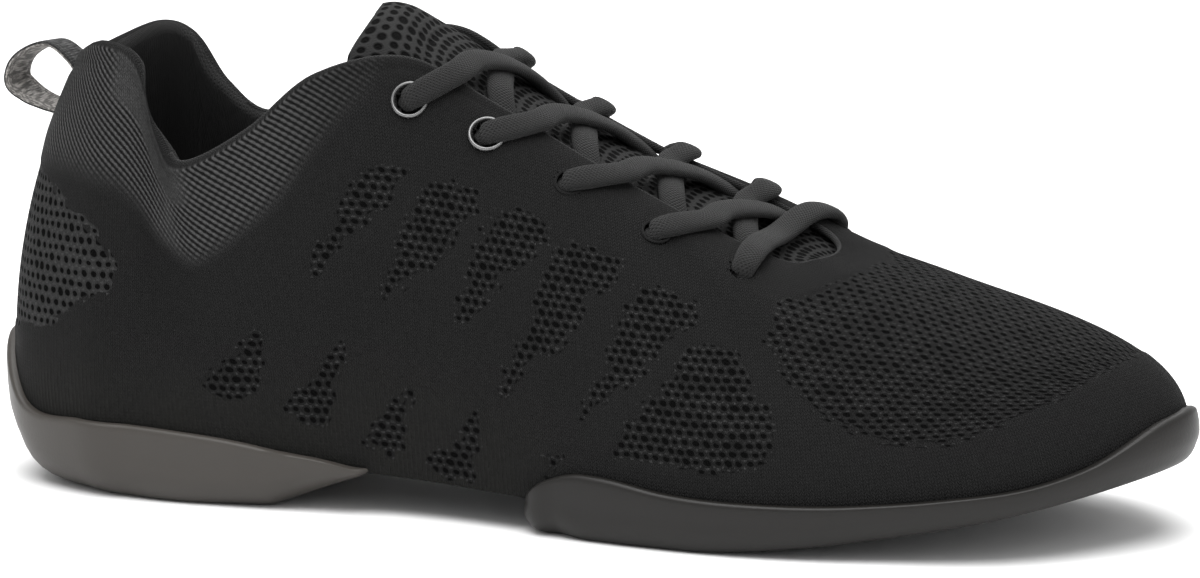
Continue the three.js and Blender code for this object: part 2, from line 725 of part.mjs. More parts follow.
// A strand from the outside of an eyelet, over the throat, to the far flap by the next eyelet.
function strand(pair, outerSide, lift) {
  const { centre, normal } = eyeletPlace(pair, outerSide);
  const here = topEyeletStation + ((lowEyeletStation - topEyeletStation) * pair) / (eyeletPairs - 1);
  const step = (lowEyeletStation - topEyeletStation) / (eyeletPairs - 1);
  const at = (run, t, high) => {
    const across = outerSide ? t : 1 - t;
    return overThroat(here + step * laceRun[run] + medialShift * across, across, high);
  };
  const edge = at(0, 0.02, 0);
  const flapTop = wallAt(here, 1) + tongueGap + laceThick / 2 + fitGap;
  return [
    { point: centre.clone().addScaledVector(normal, -knitWall * 0.6), up: normal },
    { point: centre.clone().lerp(edge.point, 0.35).addScaledVector(normal, flapTop * 0.6), up: normal },
    { point: edge.point.clone().addScaledVector(edge.up, flapTop), up: edge.up },
    at(1, 0.24, lift + 0.4),
    at(2, 0.5, lift),
    at(3, 0.78, laceThick * 0.62 + fitGap),
    at(4, 1, laceThick * 0.5),
  ];
}

// Everything that a lace keeps clear of, as one solid.
const laceKeepOut = filledForm(fitGap, outerRows)
  .subtract(eyeletHoles(fitGap + ringWall))
  .add(tongueSolid(-fitGap, tongueThick));

function ringKeepOut(pair, outerSide) {
  const { centre, normal } = eyeletPlace(pair, outerSide);
  const outer = ringRadius + fitGap;
  const inner = ringBore - fitGap;
  const top = 2 * fitGap + ringLip;
  const profile = [[inner, -knitWall], [outer, -knitWall], [outer, top], [inner, top], [inner, -knitWall]];
  const turned = new THREE.LatheGeometry(profile.map(([x, y]) => new THREE.Vector2(x, y)), 12);
  return solidOf(roundAt(turned, centre, normal));
}

function clearLace(solid, lacePairs) {
  const rings = lacePairs.filter((pair) => pair < ringedPairs)
    .flatMap((pair) => eyeletSides.map(({ outerSide }) => ringKeepOut(pair, outerSide)));
  const cut = rings.reduce((rest, ring) => rest.subtract(ring), solid.subtract(laceKeepOut));
  const pieces = cut.decompose().sort((a, b) => b.volume() - a.volume());
  return pieces[0].simplify(laceTolerance);
}

// The two strands that cross under a pair, joined where the outer one lies on the inner one.
function makeCrossing(pair) {
  const under = sweep(strand(pair, false, laceThick * 0.5 + fitGap), laceSection(0), 2);
  const over = sweep(strand(pair, true, laceThick * 1.35 + fitGap), laceSection(0), 2);
  return clearLace(under.add(over).subtract(sweep(barPath(), laceSection(fitGap), 2)), [pair, pair + 1]);
}

// The bar across the outside between the lowest eyelets.
function barPath() {
  const pair = eyeletPairs - 1;
  const run = ((lowEyeletStation - topEyeletStation) / (eyeletPairs - 1)) * laceRun[0];
  const lift = laceThick * 0.5 + fitGap;
  const half = (outerSide) => {
    const { centre, normal } = eyeletPlace(pair, outerSide);
    const station = lowEyeletStation + run + (outerSide ? 0 : medialShift);
    const edge = overThroat(station, outerSide ? 0.02 : 0.98, knitWall + tongueGap + lift);
    return [
      { point: centre.clone().addScaledVector(normal, -knitWall * 0.6), up: normal },
      { point: centre.clone().lerp(edge.point, 0.3).addScaledVector(normal, lift * 0.9), up: normal },
      edge,
    ];
  };
  const crest = overThroat(lowEyeletStation + run + medialShift / 2, 0.5, lift + 0.5);
  return [...half(true), crest, ...half(false).reverse()];
}

function makeBar() {
  return clearLace(sweep(barPath(), laceSection(0), 2), [eyeletPairs - 1]);
}

function makePullLoop() {
  const high = skin(0, shareAtHeight(0, loopHighSeam * instepHeight));
  const low = skin(0, shareAtHeight(0, loopLowSeam * instepHeight));
  const back = (high.x + low.x) / 2 - loopReach;
  const middle = new THREE.Vector3((back + high.x) / 2, 0, (high.z + low.z) / 2);
  const drop = high.z - low.z;
  const path = [
    [high.x + 4, high.z - 1.5],
    [high.x - 0.5, high.z + loopCrown * 0.6],
    [high.x - loopReach * 0.42, high.z + loopCrown],
    [back + 1.6, high.z + loopCrown * 0.45],
    [back, high.z - drop * 0.25],
    [back + 3.4, low.z + drop * 0.35],
    [low.x - loopReach * 0.3, low.z + drop * 0.12],
    [low.x + 4, low.z - 1],
  ].map(([x, z]) => {
    const point = new THREE.Vector3(x, 0, z);
    return { point, up: point.clone().sub(middle).normalize() };
  });
  const section = [[-1, -1], [1, -1], [1, 1], [-1, 1]].map(([x, y]) => [(x * loopWidth) / 2, (y * loopThick) / 2]);
  return sweep(path, section, 3).subtract(filledForm(fitGap, outerRows));
}

const group = new THREE.Group();
function addMesh(name, solid, color, roughness, metalness = 0) {
  const mesh = new THREE.Mesh(
    geometryOf(solid.simplify(facetTolerance)), new THREE.MeshStandardMaterial({ color, roughness, metalness }));
  mesh.name = name;
  group.add(mesh);
}

addMesh('upper', makeUpper(), 0x1d1c1d, 0.85);
addMesh('heel_pad', makePad(heelPadStations()), 0x4b4845, 0.5);
addMesh('forefoot_pad', makePad(forePadStations()), 0x4b4845, 0.5);
addMesh('insole', makeInsole(), 0x161616, 0.9);
addMesh('tongue', tongueSolid(0, tongueThick), 0x222122, 0.85);
addMesh('pull_loop', makePullLoop(), 0x2a2928, 0.8);
for (let pair = 0; pair < ringedPairs; pair += 1) {
  eyeletSides.forEach(({ name, outerSide }) => {
    addMesh(`eyelet_${name}_${pair + 1}`, makeEyelet(pair, outerSide), 0x3b3b3e, 0.35, 0.9);
  });
}
for (let pair = 0; pair < eyeletPairs - 1; pair += 1) {
  addMesh(`lace_crossing_${pair + 1}`, makeCrossing(pair), 0x242425, 0.75);
}
addMesh('lace_bar', makeBar(), 0x242425, 0.75);

export default group;
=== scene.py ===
import math

import bpy
import numpy as np
from mathutils import Matrix, Vector


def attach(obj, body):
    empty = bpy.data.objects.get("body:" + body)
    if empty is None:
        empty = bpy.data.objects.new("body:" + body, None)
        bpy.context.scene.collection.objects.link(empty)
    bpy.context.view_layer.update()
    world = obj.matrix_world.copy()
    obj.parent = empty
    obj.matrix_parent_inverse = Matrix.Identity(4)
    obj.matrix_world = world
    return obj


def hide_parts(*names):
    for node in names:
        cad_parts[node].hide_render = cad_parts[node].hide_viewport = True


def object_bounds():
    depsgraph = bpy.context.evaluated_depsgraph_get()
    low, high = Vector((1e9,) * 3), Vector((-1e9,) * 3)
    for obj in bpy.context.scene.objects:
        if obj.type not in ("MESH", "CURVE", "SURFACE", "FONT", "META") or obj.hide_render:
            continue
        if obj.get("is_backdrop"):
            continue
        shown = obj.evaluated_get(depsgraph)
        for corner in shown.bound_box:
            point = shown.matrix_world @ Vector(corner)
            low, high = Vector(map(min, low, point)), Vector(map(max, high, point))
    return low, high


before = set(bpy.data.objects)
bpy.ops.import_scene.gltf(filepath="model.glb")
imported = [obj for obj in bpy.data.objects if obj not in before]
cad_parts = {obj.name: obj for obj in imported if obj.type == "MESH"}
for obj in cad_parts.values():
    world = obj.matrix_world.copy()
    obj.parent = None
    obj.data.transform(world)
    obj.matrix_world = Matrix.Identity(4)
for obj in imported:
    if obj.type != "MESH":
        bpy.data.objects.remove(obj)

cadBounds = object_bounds()
bpy.ops.object.select_all(action="DESELECT")


shoe = {
    "length": 285,
    "ball": 96,
    "instep": 104,
    "heelSeat": 0.17,
    "knitWall": 2.2,
    "collarWall": 5.2,
    "rimRound": 0.8,
}

# Along, side, lift, rise, bulge, reach, fall, topAlong, topSide, topHeight, as shares
sectionRows = np.array([
    [0.011, 0.0, 0.1, 0.27, 0.072, 0.62, 0.23, 0.06, 0.0, 0.925],
    [0.036, -0.2, 0.1, 0.25, 0.06, 0.62, 0.26, 0.073, -0.105, 0.95],
    [0.1, -0.315, 0.1, 0.22, 0.05, 0.6, 0.28, 0.1, -0.178, 0.978],
    [0.145, -0.33, 0.1, 0.22, 0.045, 0.5, 0.26, 0.136, -0.218, 0.945],
    [0.185, -0.338, 0.1, 0.2, 0.04, 0.45, 0.22, 0.158, -0.25, 0.792],
    [0.23, -0.338, 0.096, 0.18, 0.035, 0.45, 0.2, 0.182, -0.276, 0.73],
    [0.285, -0.33, 0.096, 0.18, 0.035, 0.5, 0.18, 0.237, -0.265, 0.808],
    [0.34, -0.325, 0.094, 0.2, 0.035, 0.55, 0.18, 0.294, -0.235, 0.94],
    [0.41, -0.34, 0.085, 0.2, 0.035, 0.62, 0.16, 0.36, -0.148, 0.982],
    [0.495, -0.395, 0.076, 0.2, 0.04, 0.62, 0.12, 0.435, -0.125, 0.885],
    [0.58, -0.45, 0.07, 0.19, 0.04, 0.62, 0.095, 0.52, -0.125, 0.764],
    [0.67, -0.475, 0.068, 0.18, 0.035, 0.62, 0.075, 0.605, -0.125, 0.652],
    [0.77, -0.448, 0.09, 0.16, 0.035, 0.62, 0.06, 0.67, -0.105, 0.578],
    [0.895, -0.338, 0.145, 0.15, 0.035, 0.64, 0.06, 0.692, -0.045, 0.574],
    [0.982, 0.03, 0.2, 0.2, 0.048, 0.68, 0.09, 0.699, 0.045, 0.574],
    [0.912, 0.345, 0.145, 0.15, 0.035, 0.64, 0.08, 0.692, 0.13, 0.585],
    [0.8, 0.455, 0.09, 0.15, 0.035, 0.62, 0.075, 0.668, 0.19, 0.61],
    [0.705, 0.475, 0.068, 0.19, 0.03, 0.6, 0.06, 0.605, 0.205, 0.684],
    [0.605, 0.415, 0.07, 0.22, 0.02, 0.58, 0.08, 0.52, 0.21, 0.775],
    [0.51, 0.315, 0.076, 0.26, 0.02, 0.56, 0.1, 0.435, 0.21, 0.89],
    [0.425, 0.27, 0.085, 0.28, 0.04, 0.56, 0.14, 0.362, 0.205, 1.0],
    [0.35, 0.29, 0.094, 0.26, 0.04, 0.55, 0.18, 0.295, 0.245, 0.95],
    [0.29, 0.315, 0.096, 0.22, 0.035, 0.5, 0.18, 0.245, 0.265, 0.85],
    [0.23, 0.332, 0.096, 0.18, 0.035, 0.45, 0.2, 0.19, 0.268, 0.77],
    [0.185, 0.335, 0.1, 0.2, 0.04, 0.45, 0.22, 0.153, 0.25, 0.84],
    [0.145, 0.33, 0.1, 0.22, 0.045, 0.5, 0.26, 0.128, 0.225, 0.948],
    [0.1, 0.315, 0.1, 0.22, 0.05, 0.6, 0.28, 0.102, 0.19, 0.978],
    [0.036, 0.2, 0.1, 0.25, 0.06, 0.62, 0.26, 0.073, 0.105, 0.95],
])


def smooth(x):
    x = np.clip(x, 0, 1)
    return x * x * (3 - 2 * x)


def unit(vectors):
    return vectors / np.linalg.norm(vectors, axis=-1, keepdims=True)


def runAlong(points):
    return np.concatenate([[0], np.cumsum(np.linalg.norm(np.diff(points, axis=0), axis=-1))])


def sectionAt(u):
    u = np.asarray(u, float)
    whole = np.floor(u).astype(int)
    t = (u - whole)[..., None]
    a, b, c, d = [sectionRows[(whole + k) % 28] for k in (-1, 0, 1, 2)]
    return 0.5 * (2 * b + (c - a) * t + (2 * a - 5 * b + 4 * c - d) * t**2 + (3 * b - a - 3 * c + d) * t**3)


def outwardAt(u):
    step = 0.001
    change = sectionAt(np.asarray(u) + step) - sectionAt(np.asarray(u) - step)
    dx = change[..., 0] * shoe["length"]
    dy = change[..., 1] * shoe["ball"]
    return unit(np.stack([dy, -dx, 0 * dx], -1))


def ribAt(u):
    s = sectionAt(u)
    x = lambda along: (along - shoe["heelSeat"]) * shoe["length"]
    foot = np.stack([x(s[..., 0]), s[..., 1] * shoe["ball"], s[..., 2] * shoe["instep"]], -1)
    wall = foot + outwardAt(u) * (s[..., 4:5] * shoe["ball"])
    wall[..., 2] += s[..., 3] * shoe["instep"]
    top = np.stack([x(s[..., 7]), s[..., 8] * shoe["ball"], s[..., 9] * shoe["instep"]], -1)
    shoulder = top + (wall - top) * s[..., 5:6]
    shoulder[..., 2] = top[..., 2] - s[..., 6] * shoe["instep"]
    return foot, wall, shoulder, top


def bezier(points, v):
    v = np.asarray(v, float)[..., None]
    w = 1 - v
    return points[0] * w**3 + points[1] * (3 * v * w * w) + points[2] * (3 * v * v * w) + points[3] * v**3


def skinUp(u, v):
    rib = ribAt(u)
    v = np.asarray(v, float)
    return unit(bezier(rib, np.minimum(1, v + 0.002)) - bezier(rib, np.maximum(0, v - 0.002)))


def skinNormal(u, v):
    around = bezier(ribAt(np.asarray(u) + 0.01), v) - bezier(ribAt(np.asarray(u) - 0.01), v)
    return unit(np.cross(around, skinUp(u, v)))


def skin(u, v, offset=0.0):
    u, v, offset = np.broadcast_arrays(np.asarray(u, float), np.asarray(v, float), offset)
    return bezier(ribAt(u), v) + skinNormal(u, v) * offset[..., None]


def shareAtHeight(u, height):
    rib = ribAt(u)
    low = np.zeros(np.shape(u))
    high = np.ones(np.shape(u))
    for _ in range(24):
        middle = (low + high) / 2
        under = bezier(rib, middle)[..., 2] < height
        low = np.where(under, middle, low)
        high = np.where(under, high, middle)
    return low


def fromHeel(u):
    u = np.mod(u, 28)
    return np.minimum(u, 28 - u)


def wallAt(u, v):
    collar = 1 - smooth((fromHeel(u) - 6.3) / 1.7)
    swell = (shoe["collarWall"] - shoe["knitWall"]) * collar
    return shoe["knitWall"] + swell * smooth((np.asarray(v) - 0.45) / 0.45)


def rimPoint(u, turn, growth=0.0):
    half = wallAt(u, 1.0)[..., None] / 2
    outwards = -half + (half + growth) * np.cos(turn)
    upwards = (half * shoe["rimRound"] + growth) * np.sin(turn)
    return skin(u, 1.0) + skinNormal(u, 1.0) * outwards + skinUp(u, 1.0) * upwards


eyelets = {
    "topStation": 7.98,
    "lowStation": 11.34,
    "innerShift": 0.18,
    "topInset": 10.2,
    "lowInset": 12.6,
    "pairs": 5,
    "ringed": 2,
    "hole": 3.1,
}


def eyeletPlace(pair, outerSide):
    share = pair / (eyelets["pairs"] - 1)
    station = eyelets["topStation"] + (eyelets["lowStation"] - eyelets["topStation"]) * share
    inset = eyelets["topInset"] + (eyelets["lowInset"] - eyelets["topInset"]) * share
    u = station if outerSide else 28 - station - eyelets["innerShift"]
    shares = np.arange(1.0, 0.6, -0.002)
    away = np.linalg.norm(skin(np.full(shares.shape, u), shares) - skin(u, 1.0), axis=-1)
    v = shares[np.argmax(away >= inset)]
    return {"centre": skin(u, v), "normal": skinNormal(u, v), "up": skinUp(u, v)}


# A mesh from rows of points in millimetres, with UV maps and fields that follow the same rows.
def loft(name, points, uvs=None, fields=None, closed=True):
    rows, columns = points.shape[:2]
    bpy.ops.mesh.primitive_grid_add(x_subdivisions=columns - 1, y_subdivisions=rows - 1, size=1)
    made = bpy.context.object
    made.name = name
    made.data.name = name
    made.data.vertices.foreach_set("co", (points * 0.001).astype(np.float32).ravel())
    corner = np.zeros(len(made.data.loops), int)
    made.data.loops.foreach_get("vertex_index", corner)
    for title, values in (uvs or {}).items():
        layer = made.data.uv_layers.new(name=title)
        layer.data.foreach_set("uv", values.reshape(-1, 2)[corner].astype(np.float32).ravel())
    for title, values in (fields or {}).items():
        layer = made.data.attributes.new(title, "FLOAT", "POINT")
        layer.data.foreach_set("value", values.astype(np.float32).ravel())
    if closed:
        bpy.ops.object.mode_set(mode="EDIT")
        bpy.ops.mesh.select_all(action="SELECT")
        bpy.ops.mesh.remove_doubles(threshold=0.000002)
        bpy.ops.mesh.normals_make_consistent(inside=False)
        bpy.ops.object.mode_set(mode="OBJECT")
    bpy.ops.object.shade_smooth()
    made.select_set(False)
    return made


def coverWith(piece, *materials):
    piece.data.materials.clear()
    for material in materials:
        piece.data.materials.append(material)


def finishPiece(piece, nodes=()):
    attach(piece, "root")
    if nodes:
        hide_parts(*nodes)


# A tube of a flat section along a path, with its lengths and girth in millimetres as its UV map.
def sweep(name, path, ups, widths, heights, steps, around=20, flat=2.4):
    path = np.asarray(path, float)
    count = len(path)
    chord = np.concatenate([[0], np.cumsum(np.linalg.norm(np.diff(path, axis=0), axis=1) ** 0.5)])
    at = np.linspace(0, chord[-1], steps)
    centre = splineThrough(chord, path, at)
    lead = unit(np.gradient(centre, axis=0))
    share = np.interp(at, chord, np.arange(count))
    up = np.stack([np.interp(share, np.arange(count), np.asarray(ups)[:, k]) for k in range(3)], -1)
    side = unit(np.cross(up, lead))
    lift = np.cross(lead, side)
    width = np.interp(share, np.arange(count), widths)
    height = np.interp(share, np.arange(count), heights)
    angle = np.linspace(0, 2 * math.pi, around + 1)
    power = 2 / flat
    acrossShape = np.sign(np.cos(angle)) * np.abs(np.cos(angle)) ** power
    upShape = np.sign(np.sin(angle)) * np.abs(np.sin(angle)) ** power
    rings = (centre[:, None] + side[:, None] * (width[:, None] / 2 * acrossShape)[..., None]
             + lift[:, None] * (height[:, None] / 2 * upShape)[..., None])
    ends = [np.repeat(rings[k].mean(0)[None], around + 1, 0)[None] for k in (0, -1)]
    rings = np.concatenate([ends[0], rings, ends[1]])
    length = runAlong(centre)
    length = np.concatenate([[0], length, [length[-1]]])
    girth = np.linspace(0, width.mean() * 2 + height.mean(), around + 1)
    uv = np.stack(np.broadcast_arrays(length[:, None], girth[None]), -1)
    return loft(name, rings, uvs={"weave": uv})


# Points of a smooth curve through knots, at places along them.
def splineThrough(knots, values, places):
    count = len(knots)
    slopes = np.gradient(values, knots, axis=0)
    k = np.clip(np.searchsorted(knots, places, side="right") - 1, 0, count - 2)
    width = (knots[k + 1] - knots[k])[:, None]
    t = ((places - knots[k])[:, None]) / width
    a = 2 * t**3 - 3 * t**2 + 1
    b = t**3 - 2 * t**2 + t
    c = 3 * t**2 - 2 * t**3
    d = t**3 - t**2
    return a * values[k] + b * width * slopes[k] + c * values[k + 1] + d * width * slopes[k + 1]


# A number, colour or vector inside a shader tree. Arithmetic on it adds Math nodes.
class Value:
    def __init__(self, tree, socket):
        self.tree = tree
        self.socket = socket

    def math(self, operation, second=None, third=None, clamp=False):
        made = self.tree.nodes.new("ShaderNodeMath")
        made.operation = operation
        made.use_clamp = clamp
        for socket, value in zip(made.inputs, (self, second, third)):
            if value is not None:
                plug(self.tree, socket, value)
        return Value(self.tree, made.outputs[0])

    def __add__(self, other):
        return self.math("ADD", other)

    def __sub__(self, other):
        return self.math("SUBTRACT", other)

    def __mul__(self, other):
        return self.math("MULTIPLY", other)

    def __truediv__(self, other):
        return self.math("DIVIDE", other)

    def scaled(self, factor, offset):
        return self.math("MULTIPLY_ADD", factor, offset)


# A plain number or colour, or a link, into a socket.
def plug(tree, socket, value):
    if isinstance(value, Value):
        tree.links.new(value.socket, socket)
    else:
        socket.default_value = value


def stepBetween(value, low, high):
    made = value.tree.nodes.new("ShaderNodeMapRange")
    made.interpolation_type = "SMOOTHSTEP"
    for title, setting in (("Value", value), ("From Min", low), ("From Max", high)):
        plug(value.tree, made.inputs[title], setting)
    return Value(value.tree, made.outputs["Result"])


# The Mix node keeps a set of sockets for each kind: numbers start at 2 and colours at 6.
def mixBetween(kind, firstSocket, output, factor, values):
    made = factor.tree.nodes.new("ShaderNodeMix")
    made.data_type = kind
    plug(factor.tree, made.inputs[0], factor)
    for k, value in enumerate(values):
        plug(factor.tree, made.inputs[firstSocket + k], value)
    return Value(factor.tree, made.outputs[output])


def mixColour(factor, first, second):
    return mixBetween("RGBA", 6, 2, factor, (first, second))


def mixValue(factor, first, second):
    return mixBetween("FLOAT", 2, 0, factor, (first, second))


def fieldValue(tree, title):
    made = tree.nodes.new("ShaderNodeAttribute")
    made.attribute_name = title
    return Value(tree, made.outputs["Fac"])


def uvPlace(tree, title):
    made = tree.nodes.new("ShaderNodeUVMap")
    made.uv_map = title
    return Value(tree, made.outputs["UV"])


def objectPlace(tree):
    return Value(tree, tree.nodes.new("ShaderNodeTexCoord").outputs["Object"])


def partsOf(vector):
    made = vector.tree.nodes.new("ShaderNodeSeparateXYZ")
    plug(vector.tree, made.inputs[0], vector)
    return [Value(vector.tree, output) for output in made.outputs]


def lengthOf(x, y):
    return (x * x + y * y).math("SQRT")


def noiseValue(place, scale, detail=2.0):
    made = place.tree.nodes.new("ShaderNodeTexNoise")
    for title, setting in (("Vector", place), ("Scale", scale), ("Detail", detail)):
        plug(place.tree, made.inputs[title], setting)
    return Value(place.tree, made.outputs["Fac"])


def bumpNormal(height, distance, strength=1.0, under=None):
    made = height.tree.nodes.new("ShaderNodeBump")
    titles = ("Height", "Distance", "Strength", "Normal")
    for title, setting in zip(titles, (height, distance, strength, under)):
        if setting is not None:
            plug(height.tree, made.inputs[title], setting)
    return Value(height.tree, made.outputs["Normal"])


# A node group. Its inputs are titles with a number, or with None for a vector.
def newGroup(name, inputs, outputs):
    group = bpy.data.node_groups.new(name, "ShaderNodeTree")
    for title, value in inputs.items():
        kind = "NodeSocketVector" if value is None else "NodeSocketFloat"
        socket = group.interface.new_socket(title, in_out="INPUT", socket_type=kind)
        if value is not None:
            socket.default_value = value
    for title in outputs:
        group.interface.new_socket(title, in_out="OUTPUT", socket_type="NodeSocketFloat")
    start = group.nodes.new("NodeGroupInput")
    end = group.nodes.new("NodeGroupOutput")
    return group, [Value(group, start.outputs[title]) for title in inputs], end.inputs


def useGroup(tree, group, **values):
    made = tree.nodes.new("ShaderNodeGroup")
    made.node_tree = group
    for title, value in values.items():
        plug(tree, made.inputs[title], value)
    return {output.name: Value(tree, output) for output in made.outputs}


# Jersey stitches: columns of small V loops. Place is in millimetres.
def makeStitchGroup():
    group, given, result = newGroup("jerseyStitch", {"Place": None, "Wale": 1.1, "Course": 0.8}, ["Height"])
    place, wale, course = given
    x, y = partsOf(place)[:2]
    leg = ((x / wale).math("FRACT") - 0.5).math("ABSOLUTE") * 2.0
    slanted = leg.scaled(0.8, y / course).math("FRACT")
    loop = (slanted * math.pi).math("SINE").math("POWER", 0.6, clamp=True)
    body = (leg * math.pi).math("SINE").math("POWER", 0.5, clamp=True)
    plug(group, result["Height"], loop * body)
    return group


# Open net: staggered slanted holes of uneven size. Place counts holes across and rows up, and Inside
# is the distance within the field, whose edge is ragged by whole holes.
def makeNetGroup():
    group, given, result = newGroup(
        "openNet",
        {"Place": None, "Pitch": 3.0, "Row": 2.2, "Slant": 0.5, "Long": 1.0, "High": 0.62, "Inside": 4.0},
        ["Field", "Hole", "Height", "KnotHighlight"])
    place, pitch, rise, slant, long, high, inside = given
    column, climb = partsOf(place)[:2]
    row = climb.math("FLOOR")
    shifted = column + (row.math("MODULO", 2.0) * 0.5).math("ABSOLUTE")
    across = shifted.math("FRACT") - 0.5
    upwards = climb.math("FRACT") - 0.5
    x = across * pitch
    y = upwards * rise
    cosine = slant.math("COSINE")
    sine = slant.math("SINE")
    cell = group.nodes.new("ShaderNodeCombineXYZ")
    plug(group, cell.inputs[0], shifted.math("FLOOR"))
    plug(group, cell.inputs[1], row)
    white = group.nodes.new("ShaderNodeTexWhiteNoise")
    white.noise_dimensions = "2D"
    plug(group, white.inputs["Vector"], Value(group, cell.outputs[0]))
    chance = Value(group, white.outputs["Value"])
    field = stepBetween(chance.scaled(2.6, inside - 1.3), -0.35, 0.35)
    away = lengthOf((x * cosine - y * sine) / long, (x * sine + y * cosine) / high) * chance.scaled(0.45, 0.8)
    corner = lengthOf((across.math("ABSOLUTE") - 0.5) * pitch, (upwards.math("ABSOLUTE") - 0.5) * rise)
    plug(group, result["Field"], field)
    plug(group, result["Hole"], stepBetween(away, 1.15, 0.8) * field)
    plug(group, result["Height"], stepBetween(away, 0.6, 1.45))
    # painted highlights on the yarn at the corners between the holes
    plug(group, result["KnotHighlight"], stepBetween(corner, 0.75, 0.2) * chance * field)
    return group


# Rib lines at an angle. Place is in millimetres, Lean in radians from straight up.
def makeRibGroup():
    group, given, result = newGroup("ribLines", {"Place": None, "Pitch": 1.5, "Lean": 0.4}, ["Height"])
    place, pitch, lean = given
    x, y = partsOf(place)[:2]
    across = x * lean.math("COSINE") + y * lean.math("SINE")
    turn = across / pitch * (2 * math.pi)
    plug(group, result["Height"], turn.math("SINE").scaled(0.5, 0.5))
    return group


# Braid of a lace or binding: diagonal picks crossing. Place is along and around, in millimetres.
def makeBraidGroup():
    group, given, result = newGroup("roundBraid", {"Place": None, "Pick": 0.9}, ["Height"])
    place, pick = given
    x, y = partsOf(place)[:2]
    along = x / pick
    around = y / pick
    strands = []
    for turned in (along + around, along - around):
        strands.append((turned.math("FRACT") * math.pi).math("SINE").math("POWER", 1.4, clamp=True))
    plug(group, result["Height"], strands[0].math("MAXIMUM", strands[1]))
    return group


stitchGroup = makeStitchGroup()
netGroup = makeNetGroup()
ribGroup = makeRibGroup()
braidGroup = makeBraidGroup()


def newMaterial(name, roughness, sheen=0.0, specular=0.4):
    material = bpy.data.materials.new(name)
    material.use_nodes = True
    tree = material.node_tree
    shader = tree.nodes["Principled BSDF"]
    shader.inputs["Roughness"].default_value = roughness
    shader.inputs["Specular IOR Level"].default_value = specular
    shader.inputs["Sheen Weight"].default_value = sheen
    shader.inputs["Sheen Roughness"].default_value = 0.45
    return material, tree


# What varies over a material's surface.
def dress(tree, colour, normal=None, roughness=None, specular=None):
    shader = tree.nodes["Principled BSDF"]
    titles = ("Base Color", "Normal", "Roughness", "Specular IOR Level")
    for title, value in zip(titles, (colour, normal, roughness, specular)):
        if value is not None:
            plug(tree, shader.inputs[title], value)


def grey(level, warm=0.0):
    return (level * (1 + warm), level, level * (1 - warm), 1.0)


gapShadeGrey = 0.002 # painted shade: the dark in the gaps between yarns


# Plain knitted cloth, for the lining and the insole.
def makeCloth(name, level, stitchSize, mottle, roughness=0.9):
    material, tree = newMaterial(name, roughness, sheen=0.05, specular=0.15)
    weave = uvPlace(tree, "weave")
    stitch = useGroup(tree, stitchGroup, Place=weave, Wale=stitchSize, Course=stitchSize)["Height"]
    scale, detail, least = mottle
    # uneven tone from the noise, times painted shade that darkens the colour between the stitches
    shade = noiseValue(objectPlace(tree), scale, detail).scaled(0.5, least) * stitch.scaled(0.5, 0.6)
    dress(tree, mixColour(shade, grey(gapShadeGrey), grey(level)), bumpNormal(stitch, 0.0003))
    return material


print("stage: camera, floor and light")

view = {
    "azimuth": 20.1,
    "elevation": 10.9,
    "roll": -0.5,
    "distance": 1.782,
    "target": (0.09355, 0.0, 0.05),
    "lens": 235.5,
    "shift": (0.0054, -0.004),
}


def placeCamera():
    a, e, r = [math.radians(view[k]) for k in ("azimuth", "elevation", "roll")]
    back = Vector((math.sin(a) * math.cos(e), -math.cos(a) * math.cos(e), math.sin(e)))
    right = Vector((math.cos(a), math.sin(a), 0))
    up = back.cross(right)
    turnedRight = right * math.cos(r) + up * math.sin(r)
    turnedUp = up * math.cos(r) - right * math.sin(r)
    bpy.ops.object.camera_add()
    camera = bpy.context.object
    camera.name = "photoCamera"
    camera.data.sensor_width = 36
    camera.data.lens = view["lens"]
    camera.data.shift_x = view["shift"][0]
    camera.data.shift_y = view["shift"][1]
    camera.data.clip_start = 0.05
    camera.data.clip_end = 60
    camera.matrix_world = Matrix((
        (turnedRight.x, turnedUp.x, back.x, 0),
        (turnedRight.y, turnedUp.y, back.y, 0),
        (turnedRight.z, turnedUp.z, back.z, 0),
        (0, 0, 0, 1)))
    camera.location = Vector(view["target"]) + back * view["distance"]
    bpy.context.scene.camera = camera
    camera.select_set(False)


studio = {
    "world": 0.72,
    "floor": 0.9,
    "key": {"place": (0.1, -0.35, 1.8), "size": 2.2, "power": 54},
    "fill": {"place": (1.7, -0.5, 1.0), "size": 1.4, "power": 3},
    "back": {"place": (-0.3, 1.4, 1.7), "size": 1.4, "power": 16},
}


def placeStudio():
    world = bpy.data.worlds.new("paleStudio")
    world.use_nodes = True
    background = world.node_tree.nodes["Background"]
    background.inputs["Color"].default_value = (1, 1, 1, 1)
    background.inputs["Strength"].default_value = studio["world"]
    bpy.context.scene.world = world
    bpy.ops.mesh.primitive_plane_add(size=14, location=(0, 0, 0))
    floor = bpy.context.object
    floor.name = "floor"
    material, tree = newMaterial("palePaper", 0.9, specular=0.1)
    level = studio["floor"]
    dress(tree, mixColour(noiseValue(objectPlace(tree), 40), grey(level * 0.995), grey(level)))
    coverWith(floor, material)
    floor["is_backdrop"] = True
    floor.select_set(False)
    for name in ("key", "fill", "back"):
        light = studio[name]
        bpy.ops.object.light_add(type="AREA", location=light["place"])
        lamp = bpy.context.object
        lamp.name = name + "Light"
        lamp.data.shape = "DISK"
        lamp.data.size = light["size"]
        lamp.data.energy = light["power"]
        aim = Vector((0.09, 0, 0.05)) - Vector(light["place"])
        lamp.rotation_mode = "QUATERNION"
        lamp.rotation_quaternion = aim.to_track_quat("-Z", "Y")
        lamp.select_set(False)


placeCamera()
placeStudio()
bpy.context.scene.view_settings.view_transform = "Standard"


print("stage: knitted upper")

